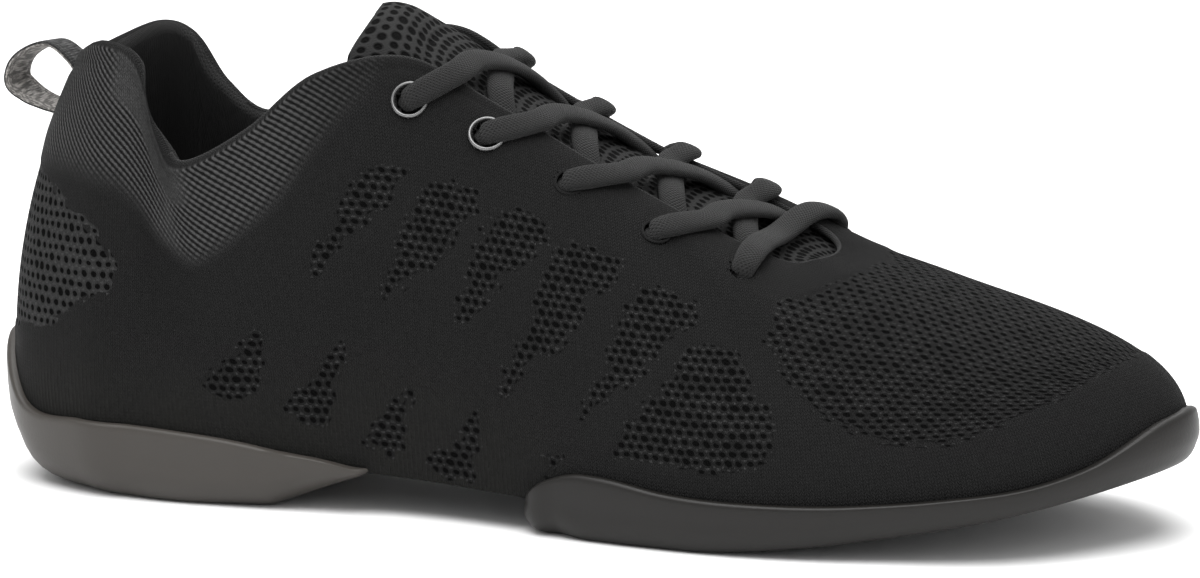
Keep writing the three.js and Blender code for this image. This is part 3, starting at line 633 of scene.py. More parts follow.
knit = {
    "columns": 672, # points round the upper
    "rows": 84, # up its outer wall
    "rimRows": 7,
    "liningRows": 16,
    "floorRows": 5,
    "yarn": 0.0148,
    # collarYarn: the collar's paler yarn, and also the colour of the painted highlights on its rib crowns
    "collarYarn": 0.072,
    "netYarn": 0.0075,
    "heelYarn": 0.024,
    "oliveYarn": (0.017, 0.0165, 0.0125, 1.0),
    "lining": 0.013,
    "pressed": 0.35, # how far the open net lies below the dense knit
    "ribPitch": 1.25,
    "ribLean": 0.95,
    "net": { # pitch of the holes and height of their rows
        "toe": (3.0, 2.0),
        "heel": (2.6, 2.5),
        "side": (2.5, 2.1),
    },
    "holes": {
        "toe": {"Slant": 0.3, "Long": 0.85, "High": 0.5},
        "side": {"Slant": 0.3, "Long": 0.8, "High": 0.6},
    },
    "fields": ("netInside", "toeField", "ribBack", "ribFront", "collarField", "waleField"),
}

# Open net fields on the outer side as stations and shares; the inner side mirrors them
netFields = {
    "toe": [(11.45, 0.6), (11.7, 0.76), (12.05, 0.83), (12.7, 0.9), (13.4, 0.93), (14.2, 0.93), (14.2, 0.42),
            (13.6, 0.39), (13.3, 0.35), (13.0, 0.32), (12.6, 0.27), (12.2, 0.3), (12.0, 0.35), (11.8, 0.4),
            (11.65, 0.46)],
    "band1": [(7.4, 0.72), (7.85, 0.7), (7.65, 0.64), (7.35, 0.61), (7.1, 0.58), (6.9, 0.55), (6.6, 0.53),
              (6.65, 0.58), (7.0, 0.62), (7.2, 0.68)],
    "band2": [(8.1, 0.68), (8.65, 0.7), (8.6, 0.65), (8.35, 0.58), (8.2, 0.53), (7.8, 0.48), (7.5, 0.44),
              (7.5, 0.48), (7.65, 0.53), (7.8, 0.58), (7.95, 0.63)],
    "band3": [(8.8, 0.66), (9.1, 0.7), (9.4, 0.7), (9.4, 0.65), (9.05, 0.57), (8.85, 0.54), (8.7, 0.48),
              (8.5, 0.43), (8.3, 0.4), (8.35, 0.45), (8.5, 0.51), (8.6, 0.57)],
    "band4": [(9.4, 0.64), (9.7, 0.69), (10.1, 0.7), (10.05, 0.61), (9.75, 0.56), (9.6, 0.48), (9.4, 0.42),
              (9.2, 0.39), (9.0, 0.34), (8.75, 0.27), (8.75, 0.3), (8.9, 0.37), (9.1, 0.45), (9.2, 0.53),
              (9.35, 0.6)],
    "band5": [(10.3, 0.65), (10.85, 0.67), (10.75, 0.6), (10.5, 0.52), (10.25, 0.42), (10.0, 0.35),
              (9.8, 0.3), (9.6, 0.27), (9.7, 0.33), (9.9, 0.41), (10.0, 0.49), (10.1, 0.57)],
    "fan": [(10.75, 0.52), (10.9, 0.55), (11.1, 0.55), (11.2, 0.51), (11.3, 0.44), (11.4, 0.36), (11.4, 0.28),
            (11.35, 0.22), (11.0, 0.19), (10.5, 0.18), (9.95, 0.18), (9.95, 0.24), (10.25, 0.34),
            (10.55, 0.44)],
    "heel": [(-0.5, 0.7), (0.2, 0.72), (1.2, 0.68), (1.9, 0.61), (2.4, 0.56), (2.7, 0.5), (2.6, 0.45),
             (2.0, 0.4), (1.4, 0.33), (0.5, 0.29), (-0.5, 0.29)],
    "wedge1": [(5.7, 0.46), (5.8, 0.42), (5.65, 0.35), (5.6, 0.3), (5.4, 0.24), (5.0, 0.25), (4.6, 0.28),
               (4.75, 0.32), (5.3, 0.4)],
    "wedge2": [(6.9, 0.35), (6.9, 0.31), (6.7, 0.26), (6.7, 0.21), (6.5, 0.15), (6.2, 0.16), (5.95, 0.21),
               (6.1, 0.24), (6.4, 0.29)],
    "wedge3": [(7.7, 0.25), (7.75, 0.23), (7.6, 0.17), (7.55, 0.07), (7.3, 0.08), (7.1, 0.1), (7.35, 0.18)],
    "wedge4": [(8.5, 0.24), (8.5, 0.15), (8.4, 0.1), (8.35, 0.03), (8.0, 0.02), (7.85, 0.07), (8.15, 0.12)],
    "wedge5": [(9.15, 0.14), (9.35, 0.15), (9.15, 0.06)],
}

# Soft troughs and ridges on either side: from and to as station and share, width and depth in mm
creases = [
    {"side": "outer", "from": (10.2, 0.98), "to": (11.6, 0.45), "width": 5, "depth": 0.7},
    {"side": "outer", "from": (11.0, 0.9), "to": (12.3, 0.5), "width": 7, "depth": -0.5},
    {"side": "outer", "from": (5.8, 0.84), "to": (7.4, 0.5), "width": 9, "depth": 0.45},
    {"side": "outer", "from": (3.4, 0.7), "to": (4.4, 0.4), "width": 10, "depth": 0.45},
    {"side": "outer", "from": (8.7, 0.1), "to": (9.9, 0.42), "width": 6, "depth": 0.5},
    {"side": "inner", "from": (10.2, 0.98), "to": (11.6, 0.45), "width": 5, "depth": 0.7},
    {"side": "inner", "from": (5.6, 0.9), "to": (7.4, 0.5), "width": 7, "depth": 0.6},
    {"side": "inner", "from": (3.6, 0.8), "to": (4.6, 0.5), "width": 7, "depth": 0.7},
    {"side": "inner", "from": (6.8, 0.3), "to": (8.6, 0.5), "width": 9, "depth": 0.7},
]


# Millimetres from a closed outline of stations and shares, positive inside.
def insideField(u, v, outline):
    scale = np.array([21.0, 92.0])
    corners = np.array(outline) * scale
    point = np.stack([u, v], -1) * scale
    nearest = np.full(u.shape, 1e9)
    inside = np.zeros(u.shape, bool)
    for a, b in zip(corners, np.roll(corners, -1, axis=0)):
        edge = b - a
        t = np.clip(((point - a) @ edge) / (edge @ edge), 0, 1)
        nearest = np.minimum(nearest, np.linalg.norm(point - a - t[..., None] * edge, axis=-1))
        crosses = (a[1] > point[..., 1]) != (b[1] > point[..., 1])
        meets = a[0] + (point[..., 1] - a[1]) / (edge[1] + 1e-12) * edge[0]
        inside ^= crosses & (point[..., 0] < meets)
    return np.where(inside, nearest, -nearest)


def creaseDepth(u, v):
    scale = np.array([21.0, 92.0])
    total = np.zeros(u.shape)
    onOuter = np.mod(u, 28) <= 14
    point = np.stack([fromHeel(u), v], -1) * scale
    for crease in creases:
        a = np.array(crease["from"]) * scale
        b = np.array(crease["to"]) * scale
        edge = b - a
        t = np.clip(((point - a) @ edge) / (edge @ edge), 0, 1)
        away = np.linalg.norm(point - a - t[..., None] * edge, axis=-1)
        depth = crease["depth"] * np.exp(-((away / crease["width"]) ** 2)) * np.sin(np.pi * (0.15 + 0.7 * t))
        total += np.where(onOuter == (crease["side"] == "outer"), depth, 0)
    return total


def netFieldMask(u, v):
    side = fromHeel(u)
    inside = np.full(u.shape, -6.0)
    toe = np.zeros(u.shape)
    heel = np.zeros(u.shape)
    for name, outline in netFields.items():
        here = insideField(side, v, outline)
        inside = np.maximum(inside, here)
        if name == "toe":
            toe = (here > -4).astype(float)
        if name == "heel":
            heel = (here > -4).astype(float)
    return np.minimum(inside, 6.0), toe, heel


# Distances round the upper from the heel and up each rib, in millimetres, and angles over the toe.
def knitPlaces(u, v):
    stations = np.linspace(0, 28, 561)
    girth = skin(stations, np.full(stations.shape, 0.35))
    run = runAlong(girth)
    fromStart = np.interp(np.mod(u, 28), stations, run)
    s = np.where(np.mod(u, 28) <= 14, fromStart, run[-1] - fromStart)
    s = np.where(u >= 27.999, 0, s)
    shares = np.linspace(0, 1, 41)
    rib = skin(stations[:, None], shares[None])
    rises = np.linalg.norm(np.diff(rib, axis=1), axis=-1)
    climb = np.concatenate([np.zeros((561, 1)), np.cumsum(rises, axis=1)], 1)
    column = np.clip(np.mod(u, 28) / 28 * 560, 0, 559.999)
    low = column.astype(int)
    part = column - low
    row = np.clip(v * 40, 0, 39.999)
    rung = row.astype(int)
    rest = row - rung
    t = ((climb[low, rung] * (1 - part) + climb[low + 1, rung] * part) * (1 - rest)
         + (climb[low, rung + 1] * (1 - part) + climb[low + 1, rung + 1] * part) * rest)
    return s, t


def toePlaces(points):
    outer = ribAt(np.linspace(8, 14, 61))[0]
    inner = ribAt(np.linspace(20, 14, 61))[0]
    x = points[..., 0]
    near = np.interp(x, outer[:, 0], outer[:, 1])
    far = np.interp(x, inner[:, 0], inner[:, 1])
    middle = (near + far) / 2
    half = (far - near) / 2 + 4
    foot = np.interp(x, outer[:, 0], outer[:, 2]) + 12
    ridge = skin(np.full(60, 14.0), np.linspace(0.35, 1, 60))[::-1]
    peak = np.interp(x, ridge[:, 0], ridge[:, 2])
    angle = np.arctan2((points[..., 1] - middle) / half, (points[..., 2] - foot) / np.maximum(peak - foot, 5))
    return x * 1.06, angle * 44


def ribMasks(u, v):
    side = fromHeel(u)
    low = np.interp(side, [0, 1.5, 3, 5, 6.5, 7.6, 8.4], [0.7, 0.68, 0.64, 0.66, 0.74, 0.86, 1.2])
    zone = smooth((v - low) / 0.1)
    ear = 1 - smooth((side - 2.2) / 0.6) * (1 - smooth((side - 4.6) / 0.8)) * smooth((v - 0.86) / 0.04)
    back = zone * (1 - smooth((side - 3.4) / 1.6)) * ear
    front = zone * smooth((side - 3.6) / 1.6) * ear * (1 - smooth((side - 6.8) / 1.6))
    return back, front, zone * (1 - smooth((side - 6.0) / 2.0))


def makeUpper():
    columns = knit["columns"] + 1
    u = np.linspace(0, 28, columns)
    v = np.linspace(0, 1, knit["rows"] + 1)
    gridU, gridV = np.meshgrid(u, v)
    inside, toe, heel = netFieldMask(gridU, gridV)
    mask = smooth((inside + 1.0) / 2.0)
    back, front, collar = ribMasks(gridU, gridV)
    relief = -knit["pressed"] * mask - creaseDepth(gridU, gridV)
    topline = np.exp(-(((gridV - 0.965) / 0.012) ** 2)) * (1 - smooth((fromHeel(gridU) - 8.5) / 1.0))
    relief += -0.35 * topline + 0.5 * collar
    outer = skin(gridU, gridV, relief)
    settled = outer.copy()
    turns = np.linspace(0, math.pi, knit["rimRows"] + 2)[1:-1]
    rimU = np.repeat(u[None], len(turns), 0)
    rim = rimPoint(rimU, turns[:, None, None])
    rim += (settled[-1] - skin(u, 1.0)) * np.linspace(1, 0, len(turns) + 2)[1:-1, None, None]
    floorShare = shareAtHeight(u, ribAt(u)[0][..., 2] + shoe["knitWall"])
    shares = np.linspace(1, 0, knit["liningRows"] + 1)[:, None]
    liningV = floorShare + (1 - floorShare) * shares
    liningU = np.repeat(u[None], len(shares), 0)
    lining = skin(liningU, liningV, -wallAt(liningU, liningV))
    steps = np.linspace(0, 1, knit["floorRows"] + 1)[1:, None, None] / 2
    under = outer[0] + (skin(28 - u, 0.0) - skin(u, 0.0)) * steps
    over = lining[-1] + (lining[-1][::-1] - lining[-1]) * steps
    points = np.concatenate([under[::-1], outer, rim, lining, over])
    points[:, -1] = points[:, 0]
    s, t = knitPlaces(gridU, gridV)
    toeAcross, toeRow = toePlaces(skin(gridU, gridV))
    wander = 0.07 * np.sin(s * 0.61 + 1.7 * np.sin(t * 0.37)) + 0.04 * np.sin(s * 1.73 + t * 1.31)
    sway = 0.06 * np.sin(t * 0.83 + 1.3 * np.sin(s * 0.29)) + 0.04 * np.sin(t * 1.9 - s * 1.1)
    holeAt = [np.where(toe > 0, ahead / knit["net"]["toe"][k],
                       np.where(heel > 0, run / knit["net"]["heel"][k], run / knit["net"]["side"][k]))
              for k, (run, ahead) in enumerate(((s, toeAcross), (t, toeRow)))]

    def spread(values, below, above):
        extra = [np.full((knit["floorRows"], columns), below), values]
        extra += [np.full((len(points) - knit["floorRows"] - len(values), columns), above)]
        return np.concatenate(extra)

    def follow(values):
        first = np.repeat(values[:1], knit["floorRows"], 0)
        last = np.repeat(values[-1:], len(points) - knit["floorRows"] - len(values), 0)
        return np.concatenate([first, values, last])

    depth = np.arange(len(points))[:, None] - knit["floorRows"] - len(v)
    tWhole = follow(t) + np.maximum(depth, 0) * 0.8
    inner = (depth >= knit["rimRows"] // 2).astype(float) * np.ones((1, columns))
    uvs = {
        "weave": np.stack([follow(s), tWhole], -1),
        "net": np.stack([follow(holeAt[0] + wander), follow(holeAt[1] + sway)], -1),
    }
    wale = (1 - smooth((gridV - 0.12) / 0.3)) * (1 - smooth((fromHeel(gridU) - 8.0) / 2.0))
    fields = {
        "netInside": spread(inside, -6, -6),
        "toeField": spread(toe, 0, 0),
        "ribBack": spread(back, 0, 0),
        "ribFront": spread(front, 0, 0),
        "collarField": spread(collar, 0, 0),
        "waleField": spread(wale, 0, 0),
        "liningField": inner,
    }
    return loft("knit_upper", points, uvs, fields)


def openHoles(piece):
    bpy.context.view_layer.objects.active = piece
    mesh = piece.data
    centres = np.zeros(len(mesh.polygons) * 3)
    mesh.polygons.foreach_get("center", centres)
    centres = centres.reshape(-1, 3) * 1000
    chosen = np.zeros(len(mesh.polygons), bool)
    for pair in range(eyelets["pairs"]):
        for outerSide in (True, False):
            place = eyeletPlace(pair, outerSide)
            away = centres - place["centre"]
            depth = away @ place["normal"]
            radial = np.linalg.norm(away - depth[:, None] * place["normal"], axis=1)
            chosen |= (radial < eyelets["hole"] + 0.1) & (np.abs(depth + 2) < 5)
    bpy.ops.object.mode_set(mode="EDIT")
    bpy.ops.mesh.select_mode(type="FACE")
    bpy.ops.mesh.select_all(action="DESELECT")
    bpy.ops.object.mode_set(mode="OBJECT")
    mesh.polygons.foreach_set("select", chosen)
    bpy.ops.object.mode_set(mode="EDIT")
    bpy.ops.mesh.delete(type="FACE")
    bpy.ops.mesh.select_all(action="DESELECT")
    bpy.ops.mesh.select_mode(type="EDGE")
    bpy.ops.mesh.select_non_manifold(extend=False)
    bpy.ops.mesh.bridge_edge_loops(type="PAIRS")
    bpy.ops.mesh.select_mode(type="VERT")
    bpy.ops.object.mode_set(mode="OBJECT")


def makeKnitMaterial():
    material, tree = newMaterial("blackKnit", 0.85, specular=0.12)
    weave = uvPlace(tree, "weave")
    places = uvPlace(tree, "net")
    place = objectPlace(tree)
    field = {title: fieldValue(tree, title) for title in knit["fields"]}

    def netOf(name):
        pitch, row = knit["net"][name]
        return useGroup(tree, netGroup, Place=places, Pitch=pitch, Row=row, Inside=field["netInside"],
                        **knit["holes"][name])

    def ribs(pitch, lean):
        return useGroup(tree, ribGroup, Place=weave, Pitch=pitch, Lean=lean)["Height"]

    sideNet = netOf("side")
    toeNet = netOf("toe")
    net = {title: mixValue(field["toeField"], sideNet[title], toeNet[title]) for title in sideNet}
    stitch = useGroup(tree, stitchGroup, Place=weave, Wale=1.15, Course=0.85)["Height"]
    uneven = field["waleField"] * noiseValue(place, 70, detail=3)
    height = (ribs(1.15, 0.0) * uneven).scaled(1.1, stitch * 0.35)
    pitch, lean = knit["ribPitch"], knit["ribLean"]
    beads = ribs(1.5, lean - math.pi / 2).scaled(0.6, 0.45)
    height = mixValue(field["ribBack"], height, ribs(pitch, 0.85) * beads)
    height = mixValue(field["ribFront"], height, ribs(pitch * 1.1, lean) * beads)
    height = mixValue(net["Field"], height, stitch.scaled(0.3, net["Height"] * 0.7))
    lint = noiseValue(place, 900)
    # shade: uneven tone from the noise, times painted shade that darkens the colour in the grooves between
    # stitches and around the holes
    shade = noiseValue(place, 26, detail=3).scaled(0.35, 0.83) * lint.scaled(0.9, 0.55)
    ribbed = field["ribBack"].math("MAXIMUM", field["ribFront"])
    # on the collar ribs this paints highlights on the crowns and deeper shade in the grooves
    shade = shade * mixValue(ribbed, height.scaled(0.7, 0.4), height.scaled(2.5, -0.4))
    yarn = mixColour(field["collarField"], grey(knit["yarn"]), grey(knit["collarYarn"]))
    yarn = mixColour(uneven * 0.5, yarn, knit["oliveYarn"])
    yarn = mixColour(shade, grey(gapShadeGrey), yarn)
    ahead = stepBetween(partsOf(place)[0], -0.02, 0.02)
    yarn = mixColour(net["Field"], yarn, mixColour(ahead, grey(knit["heelYarn"]), grey(knit["netYarn"])))
    # painted highlights: pale specks on the yarn between the holes
    yarn = mixColour(net["KnotHighlight"] * 0.4, yarn, grey(0.08))
    hole = net["Hole"]
    normal = bumpNormal(height, 0.0009, under=bumpNormal(lint, 0.00012, 0.6))
    # holes painted near black: the dark backing, with painted shade in the hole; they also lose their
    # specular
    dress(tree, mixColour(hole, yarn, grey(0.003)), normal, hole.scaled(0.15, 0.8), hole.scaled(-0.09, 0.12))
    return material


def layLining(piece):
    values = np.zeros(len(piece.data.vertices))
    piece.data.attributes["liningField"].data.foreach_get("value", values)
    index = [int(np.mean([values[k] for k in face.vertices]) > 0.5) for face in piece.data.polygons]
    piece.data.polygons.foreach_set("material_index", index)


knitUpper = makeUpper()
openHoles(knitUpper)
coverWith(knitUpper, makeKnitMaterial(), makeCloth("blackLining", knit["lining"], 0.9, (40, 2.0, 0.7)))
layLining(knitUpper)
finishPiece(knitUpper, ["upper"])


print("stage: sole pads")

pads = {
    "thick": 1.9,
    "spring": 17.5,
    "springStart": 0.635,
    "springPower": 1.4,
    "prow": (0.262, 0.085, 9.4), # where the heel pad's bottom turns up, over what share, how far
    "gap": 0.1,
    "heel_pad": {"turn": 6.95, "start": 0, "nose": 6, "power": 0.9, "perStation": 12},
    "forefoot_pad": {"turn": 9.25, "start": 14, "nose": -11, "power": 0.6, "perStation": 14},
    "lobe": 18, # length over which the forefoot pad's rear end rises to its rim
    "lobeLow": 3,
    "endSteps": 56,
    "cornerRows": 8,
    "sideRows": 9,
    # one rubber for both pads; the forefoot pad's grey is darker as painted shade
    "heelGrey": 0.04,
    "foreShadedGrey": 0.0075,
}

# Station, rim height, corner in, corner up, as shares of the instep and of the ball's width
foxing = np.array([
    [0, 0.318, 0.192, 0.203], [0.25, 0.311, 0.19, 0.199], [0.6, 0.27, 0.177, 0.173],
    [1.1, 0.185, 0.135, 0.125], [2, 0.172, 0.095, 0.105], [3, 0.169, 0.06, 0.08],
    [4, 0.163, 0.047, 0.067], [5.2, 0.148, 0.07, 0.067], [5.8, 0.132, 0.09, 0.062],
    [6.4, 0.12, 0.09, 0.058], [7, 0.104, 0.08, 0.05], [9.25, 0.146, 0.07, 0.075],
    [9.5, 0.148, 0.042, 0.058], [9.8, 0.146, 0.042, 0.058],
    [10.4, 0.126, 0.042, 0.058], [11.2, 0.118, 0.042, 0.05], [12.5, 0.142, 0.042, 0.043],
    [13.3, 0.195, 0.042, 0.048], [13.75, 0.271, 0.042, 0.06], [14, 0.284, 0.042, 0.063],
])


def foxingAt(u):
    return splineThrough(foxing[:, 0], foxing[:, 1:], fromHeel(u))


def soleBottom(x):
    along = x / shoe["length"] + shoe["heelSeat"]
    start, length, height = pads["prow"]
    prow = height * np.clip((along - start) / length, 0, 1)
    rise = np.clip((along - pads["springStart"]) / (1 - pads["springStart"]), 0, 1)
    return np.where(along < pads["springStart"] / 1.5, prow, pads["spring"] * rise ** pads["springPower"])


def padLine(u, z):
    return skin(u, shareAtHeight(u, z)) + outwardAt(u) * pads["thick"]


def makePad(name, material):
    kind = pads[name]
    turn, start, nose = kind["turn"], kind["start"], kind["nose"]
    sideCount = int(abs(turn - start) * kind["perStation"])
    ends = np.linspace(0, 1, pads["endSteps"] + 1)[1:-1]
    sides = np.linspace(start, turn, sideCount + 1)
    first = np.concatenate([sides, np.full(len(ends), turn), 28 - sides[::-1]])
    second = np.concatenate([sides, np.full(len(ends), 28 - turn), 28 - sides[::-1]])
    t = np.concatenate([np.zeros(len(sides)), ends, np.ones(len(sides))])
    isEnd = np.concatenate([np.zeros(len(sides)), np.ones(len(ends)), np.zeros(len(sides))])
    cosine = np.cos(np.pi * t)
    sine = np.sin(np.pi * t)
    squared = lambda x: np.sign(x) * np.abs(x) ** kind["power"]
    endOut = unit(np.stack([np.sign(nose) * sine, -cosine, 0 * sine], -1))
    out = np.where(isEnd[:, None] > 0, endOut, outwardAt(first))
    values = foxingAt(first)
    rim = values[:, 0] * shoe["instep"]
    cornerIn = values[:, 1] * shoe["ball"]
    cornerUp = values[:, 2] * shoe["instep"]

    def lineAt(z):
        a = padLine(first, z)
        b = padLine(second, z)
        point = (a + b) / 2 - (b - a) * (squared(cosine) / 2)[:, None]
        point[:, 0] += nose * squared(np.abs(sine)) * isEnd
        return point

    ground = lineAt(np.zeros(len(first)))
    bottom = soleBottom(ground[:, 0])
    if name == "forefoot_pad":
        ahead = np.clip((ground[:, 0] - ground[:, 0].min()) / pads["lobe"], 0, 1)
        rim = pads["lobeLow"] + (rim - pads["lobeLow"]) * np.sqrt(1 - (1 - ahead) ** 2)
    height = rim - bottom
    up = np.minimum(cornerUp, height * 0.62)
    rows = []
    for angle in np.linspace(0, np.pi / 2, pads["cornerRows"] + 1):
        z = bottom + up * (1 - np.cos(angle))
        row = lineAt(z) + out * (0.6 - cornerIn * (1 - np.sin(angle)))[:, None]
        row[:, 2] = z
        rows.append(row)
    for share in np.linspace(0, 1, pads["sideRows"] + 1)[1:]:
        z = bottom + up + (height - up) * (1 - (1 - share) ** 1.9)
        inset = 0.6 * (1 - share) - 0.85 * pads["thick"] * smooth((share - 0.6) / 0.4) ** 2 * 0.55
        row = lineAt(z) + out * inset
        row[:, 2] = z
        rows.append(row)
    lip = rows[-1] - out * 1.2
    rows.append(lip)
    points = np.array(rows)
    inner = np.linspace(0, 1, 5)[1:, None, None] / 2
    under = points[0] + (points[0][::-1] - points[0]) * inner
    over = points[-1] + (points[-1][::-1] - points[-1]) * inner
    points = np.concatenate([under[::-1], points, over])
    piece = loft(name + "_rubber", points)
    cutAway(piece, formCutter())
    bpy.context.view_layer.objects.active = piece
    piece.select_set(True)
    bpy.ops.object.shade_smooth_by_angle(angle=math.radians(38))
    piece.select_set(False)
    coverWith(piece, material)
    finishPiece(piece, [name])


# The upper's outside as a filled body, a little grown.
def formCutter():
    u = np.linspace(0, 28, 449)
    v = np.linspace(0, 0.5, 25)
    outer = skin(u[None], v[:, None], pads["gap"])
    outer[0, :, 2] -= pads["gap"]
    inner = np.linspace(0, 1, 4)[1:, None, None] / 2
    under = outer[0] + (outer[0][::-1] - outer[0]) * inner
    over = outer[-1] + (outer[-1][::-1] - outer[-1]) * inner
    points = np.concatenate([under[::-1], outer, over])
    points[:, -1] = points[:, 0]
    return loft("cutter", points)


def cutAway(piece, cutter):
    bpy.context.view_layer.objects.active = piece
    cut = piece.modifiers.new("cut", "BOOLEAN")
    cut.operation = "DIFFERENCE"
    cut.solver = "EXACT"
    cut.object = cutter
    bpy.ops.object.modifier_apply(modifier="cut")
    bpy.data.objects.remove(cutter)


def makeRubber(name, level):
    material, tree = newMaterial(name, 0.5, specular=0.3)
    place = objectPlace(tree)
    x, y, z = partsOf(place)
    blotch = noiseValue(place, 14, detail=3)
    colour = mixColour(blotch, grey(level * 0.86, 0.13), grey(level * 1.12, 0.1))
    scuff = stepBetween(z, 0.006, 0.0) * noiseValue(place, 90, detail=4)
    colour = mixColour(scuff * 0.4, colour, grey(level * 1.5, 0.04))
    grain = bumpNormal(noiseValue(place, 1400, detail=1), 0.00006, 0.5)
    # shallow tread on the underside: rows of small lozenges
    facing = Value(tree, tree.nodes.new("ShaderNodeNewGeometry").outputs["Normal"])
    lozenge = ((x + y) * 1500.0).math("SINE").math("MINIMUM", ((x - y) * 1500.0).math("SINE"))
    tread = stepBetween(lozenge, -0.95, -0.6) * stepBetween(partsOf(facing)[2], -0.9, -0.98)
    dress(tree, colour, bumpNormal(tread, 0.0006, under=grain), blotch.scaled(0.14, 0.36))
    return material


makePad("heel_pad", makeRubber("heelRubber", pads["heelGrey"]))
# the forefoot pad gets a darker, shaded copy of the rubber as painted shade
makePad("forefoot_pad", makeRubber("forefootRubberShaded", pads["foreShadedGrey"]))


print("stage: insole")

insole = {"thick": 3.5, "ease": 1.7, "gap": 0.3, "dish": 0.9, "grey": 0.012}


def makeInsole():
    u = np.linspace(0, 28, 337)
    floorShare = shareAtHeight(u, ribAt(u)[0][..., 2] + shoe["knitWall"])
    edge = skin(u, floorShare, -shoe["knitWall"]) - outwardAt(u) * insole["ease"]
    rows = []
    for lift, outset in ((0, -0.8), (0.5, 0.0), (1.8, 0.3), (3.0, 0.1), (3.6, -0.7)):
        row = edge + outwardAt(u) * outset
        row[:, 2] = edge[:, 2] + insole["gap"] + lift
        rows.append(row)
    inner = np.linspace(0, 1, 13)[1:, None, None] / 2
    under = rows[0] + (rows[0][::-1] - rows[0]) * inner
    over = rows[-1] + (rows[-1][::-1] - rows[-1]) * inner
    over[..., 2] -= insole["dish"] * smooth(inner[..., 0] * 3.2)
    points = np.concatenate([under[::-1], np.array(rows), over])
    points[:, -1] = points[:, 0]
    piece = loft("insole_board", points, uvs={"weave": points[..., :2].copy()})
    coverWith(piece, makeCloth("insoleCloth", insole["grey"], 1.0, (30, 3.0, 0.6), roughness=0.92))
    finishPiece(piece, ["insole"])


makeInsole()


print("stage: tongue")

tongue = {
    "thick": 3.0,
    "gap": 0.5,
    "crown": 0.36,
    "flare": 13,
    "droop": 0.85, # share of the rise which the free corners lose
    "tuck": 0.17,
    "rise": 6.7,
    "lean": 13,
    "grey": 0.022,
    "stations": (13.75, 8.25),
    "net": (2.6, 2.9),
    "holes": {"Slant": 0.0, "Long": 0.92, "High": 0.95},
}
# Up, back and wide, as shares, over the free top
tongueTop = np.array([
    [0, 0, 1], [0.48, 0.22, 0.99], [0.84, 0.46, 0.97],
    [0.98, 0.68, 0.94], [1.0, 0.84, 0.91], [0.94, 1.0, 0.87],
])


def crownPoint(u, t, depth):
    u, t, depth = np.broadcast_arrays(np.asarray(u, float), np.asarray(t, float), depth)
    under = lambda station: skin(station, 1.0, -(wallAt(station, 1.0) + tongue["gap"] + depth))
    a, b = under(u), under(28 - u)
    pull = np.linalg.norm(a - b, axis=-1, keepdims=True) * tongue["crown"]
    return bezier((a, a + skinUp(u, 1.0) * pull, b + skinUp(28 - u, 1.0) * pull, b), t)


def crownUp(u, t):
    return unit(skinNormal(u, 1.0) * (1 - t) + skinNormal(28 - u, 1.0) * t)


def tongueSheet(depth):
    u = np.linspace(tongue["stations"][0], tongue["stations"][1], 89)[:, None]
    tuck = 1 - tongue["tuck"] * (1 - np.linspace(0, 1, 9))[None]
    near = skin(u, tuck, -(wallAt(u, tuck) + tongue["gap"] + depth))
    far = skin(28 - u, tuck, -(wallAt(28 - u, tuck) + tongue["gap"] + depth))[:, ::-1]
    crown = crownPoint(u, np.linspace(0, 1, 42)[None, 1:-1], depth)
    sheet = np.concatenate([near, crown, far], axis=1)
    base = sheet[-1]
    middle = (base[0, 1] + base[-1, 1]) / 2
    half = (base[-1, 1] - base[0, 1]) / 2
    share = (base[:, 1] - middle) / half
    places = np.linspace(0, 5, 31)[1:]
    values = splineThrough(np.arange(6.0), tongueTop, places)
    free = []
    for up, back, wide in values:
        row = base.copy()
        row[:, 0] += -tongue["lean"] * back - tongue["flare"] * share**2 * back
        row[:, 1] = middle + share * half * wide
        row[:, 2] += tongue["rise"] * up * (1 - tongue["droop"] * share**2)
        free.append(row)
    return np.concatenate([sheet, np.array(free)])


def makeTongue():
    top = tongueSheet(0.0)
    under = tongueSheet(tongue["thick"])
    middle = (top + under) / 2
    puff = 0.25 * tongue["thick"]
    sideways = unit(middle[:, :1] - middle[:, 1:2]) * puff
    otherSide = unit(middle[:, -1:] - middle[:, -2:-1]) * puff
    edges = (top, middle[:, -1:] + otherSide, under[:, ::-1], middle[:, :1] + sideways, top[:, :1])
    ring = np.concatenate(edges, axis=1)

    def closeRow(row):
        return np.concatenate([row, row[-1:], row[::-1], row[:1], row[:1]])[None]

    tip = middle[-1] + unit(middle[-1] - middle[-2]) * puff
    points = np.concatenate([closeRow(middle[0]), ring, closeRow(tip)])
    across = runAlong(ring[40])
    along = runAlong(top[:, 28])
    along = np.concatenate([[0], along, [along[-1] + 1]])
    uv = np.stack(np.broadcast_arrays(across[None], along[:, None]), -1)
    piece = loft("tongue_mesh", points, uvs={"weave": uv, "net": uv / np.array(tongue["net"])})
    material, tree = newMaterial("tongueMesh", 0.85, specular=0.15)
    pitch, row = tongue["net"]
    holes = useGroup(tree, netGroup, Place=uvPlace(tree, "net"), Pitch=pitch, Row=row, **tongue["holes"])
    stitch = useGroup(tree, stitchGroup, Place=uvPlace(tree, "weave"), Wale=0.8, Course=0.8)["Height"]
    height = stitch.scaled(0.15, holes["Height"])
    # uneven tone from the noise, times painted shade in the gaps between stitches and around the holes
    shade = noiseValue(objectPlace(tree), 900).scaled(0.6, 0.7) * height.scaled(0.6, 0.45)
    yarn = mixColour(shade, grey(gapShadeGrey), grey(tongue["grey"]))
    hole = holes["Hole"]
    normal = bumpNormal(height, 0.0008)
    # holes painted near black: the dark backing, with painted shade in the hole
    dress(tree, mixColour(hole, yarn, grey(0.003)), normal, specular=hole.scaled(-0.1, 0.15))
    coverWith(piece, material)
    finishPiece(piece, ["tongue"])


makeTongue()


print("stage: laces and eyelets")

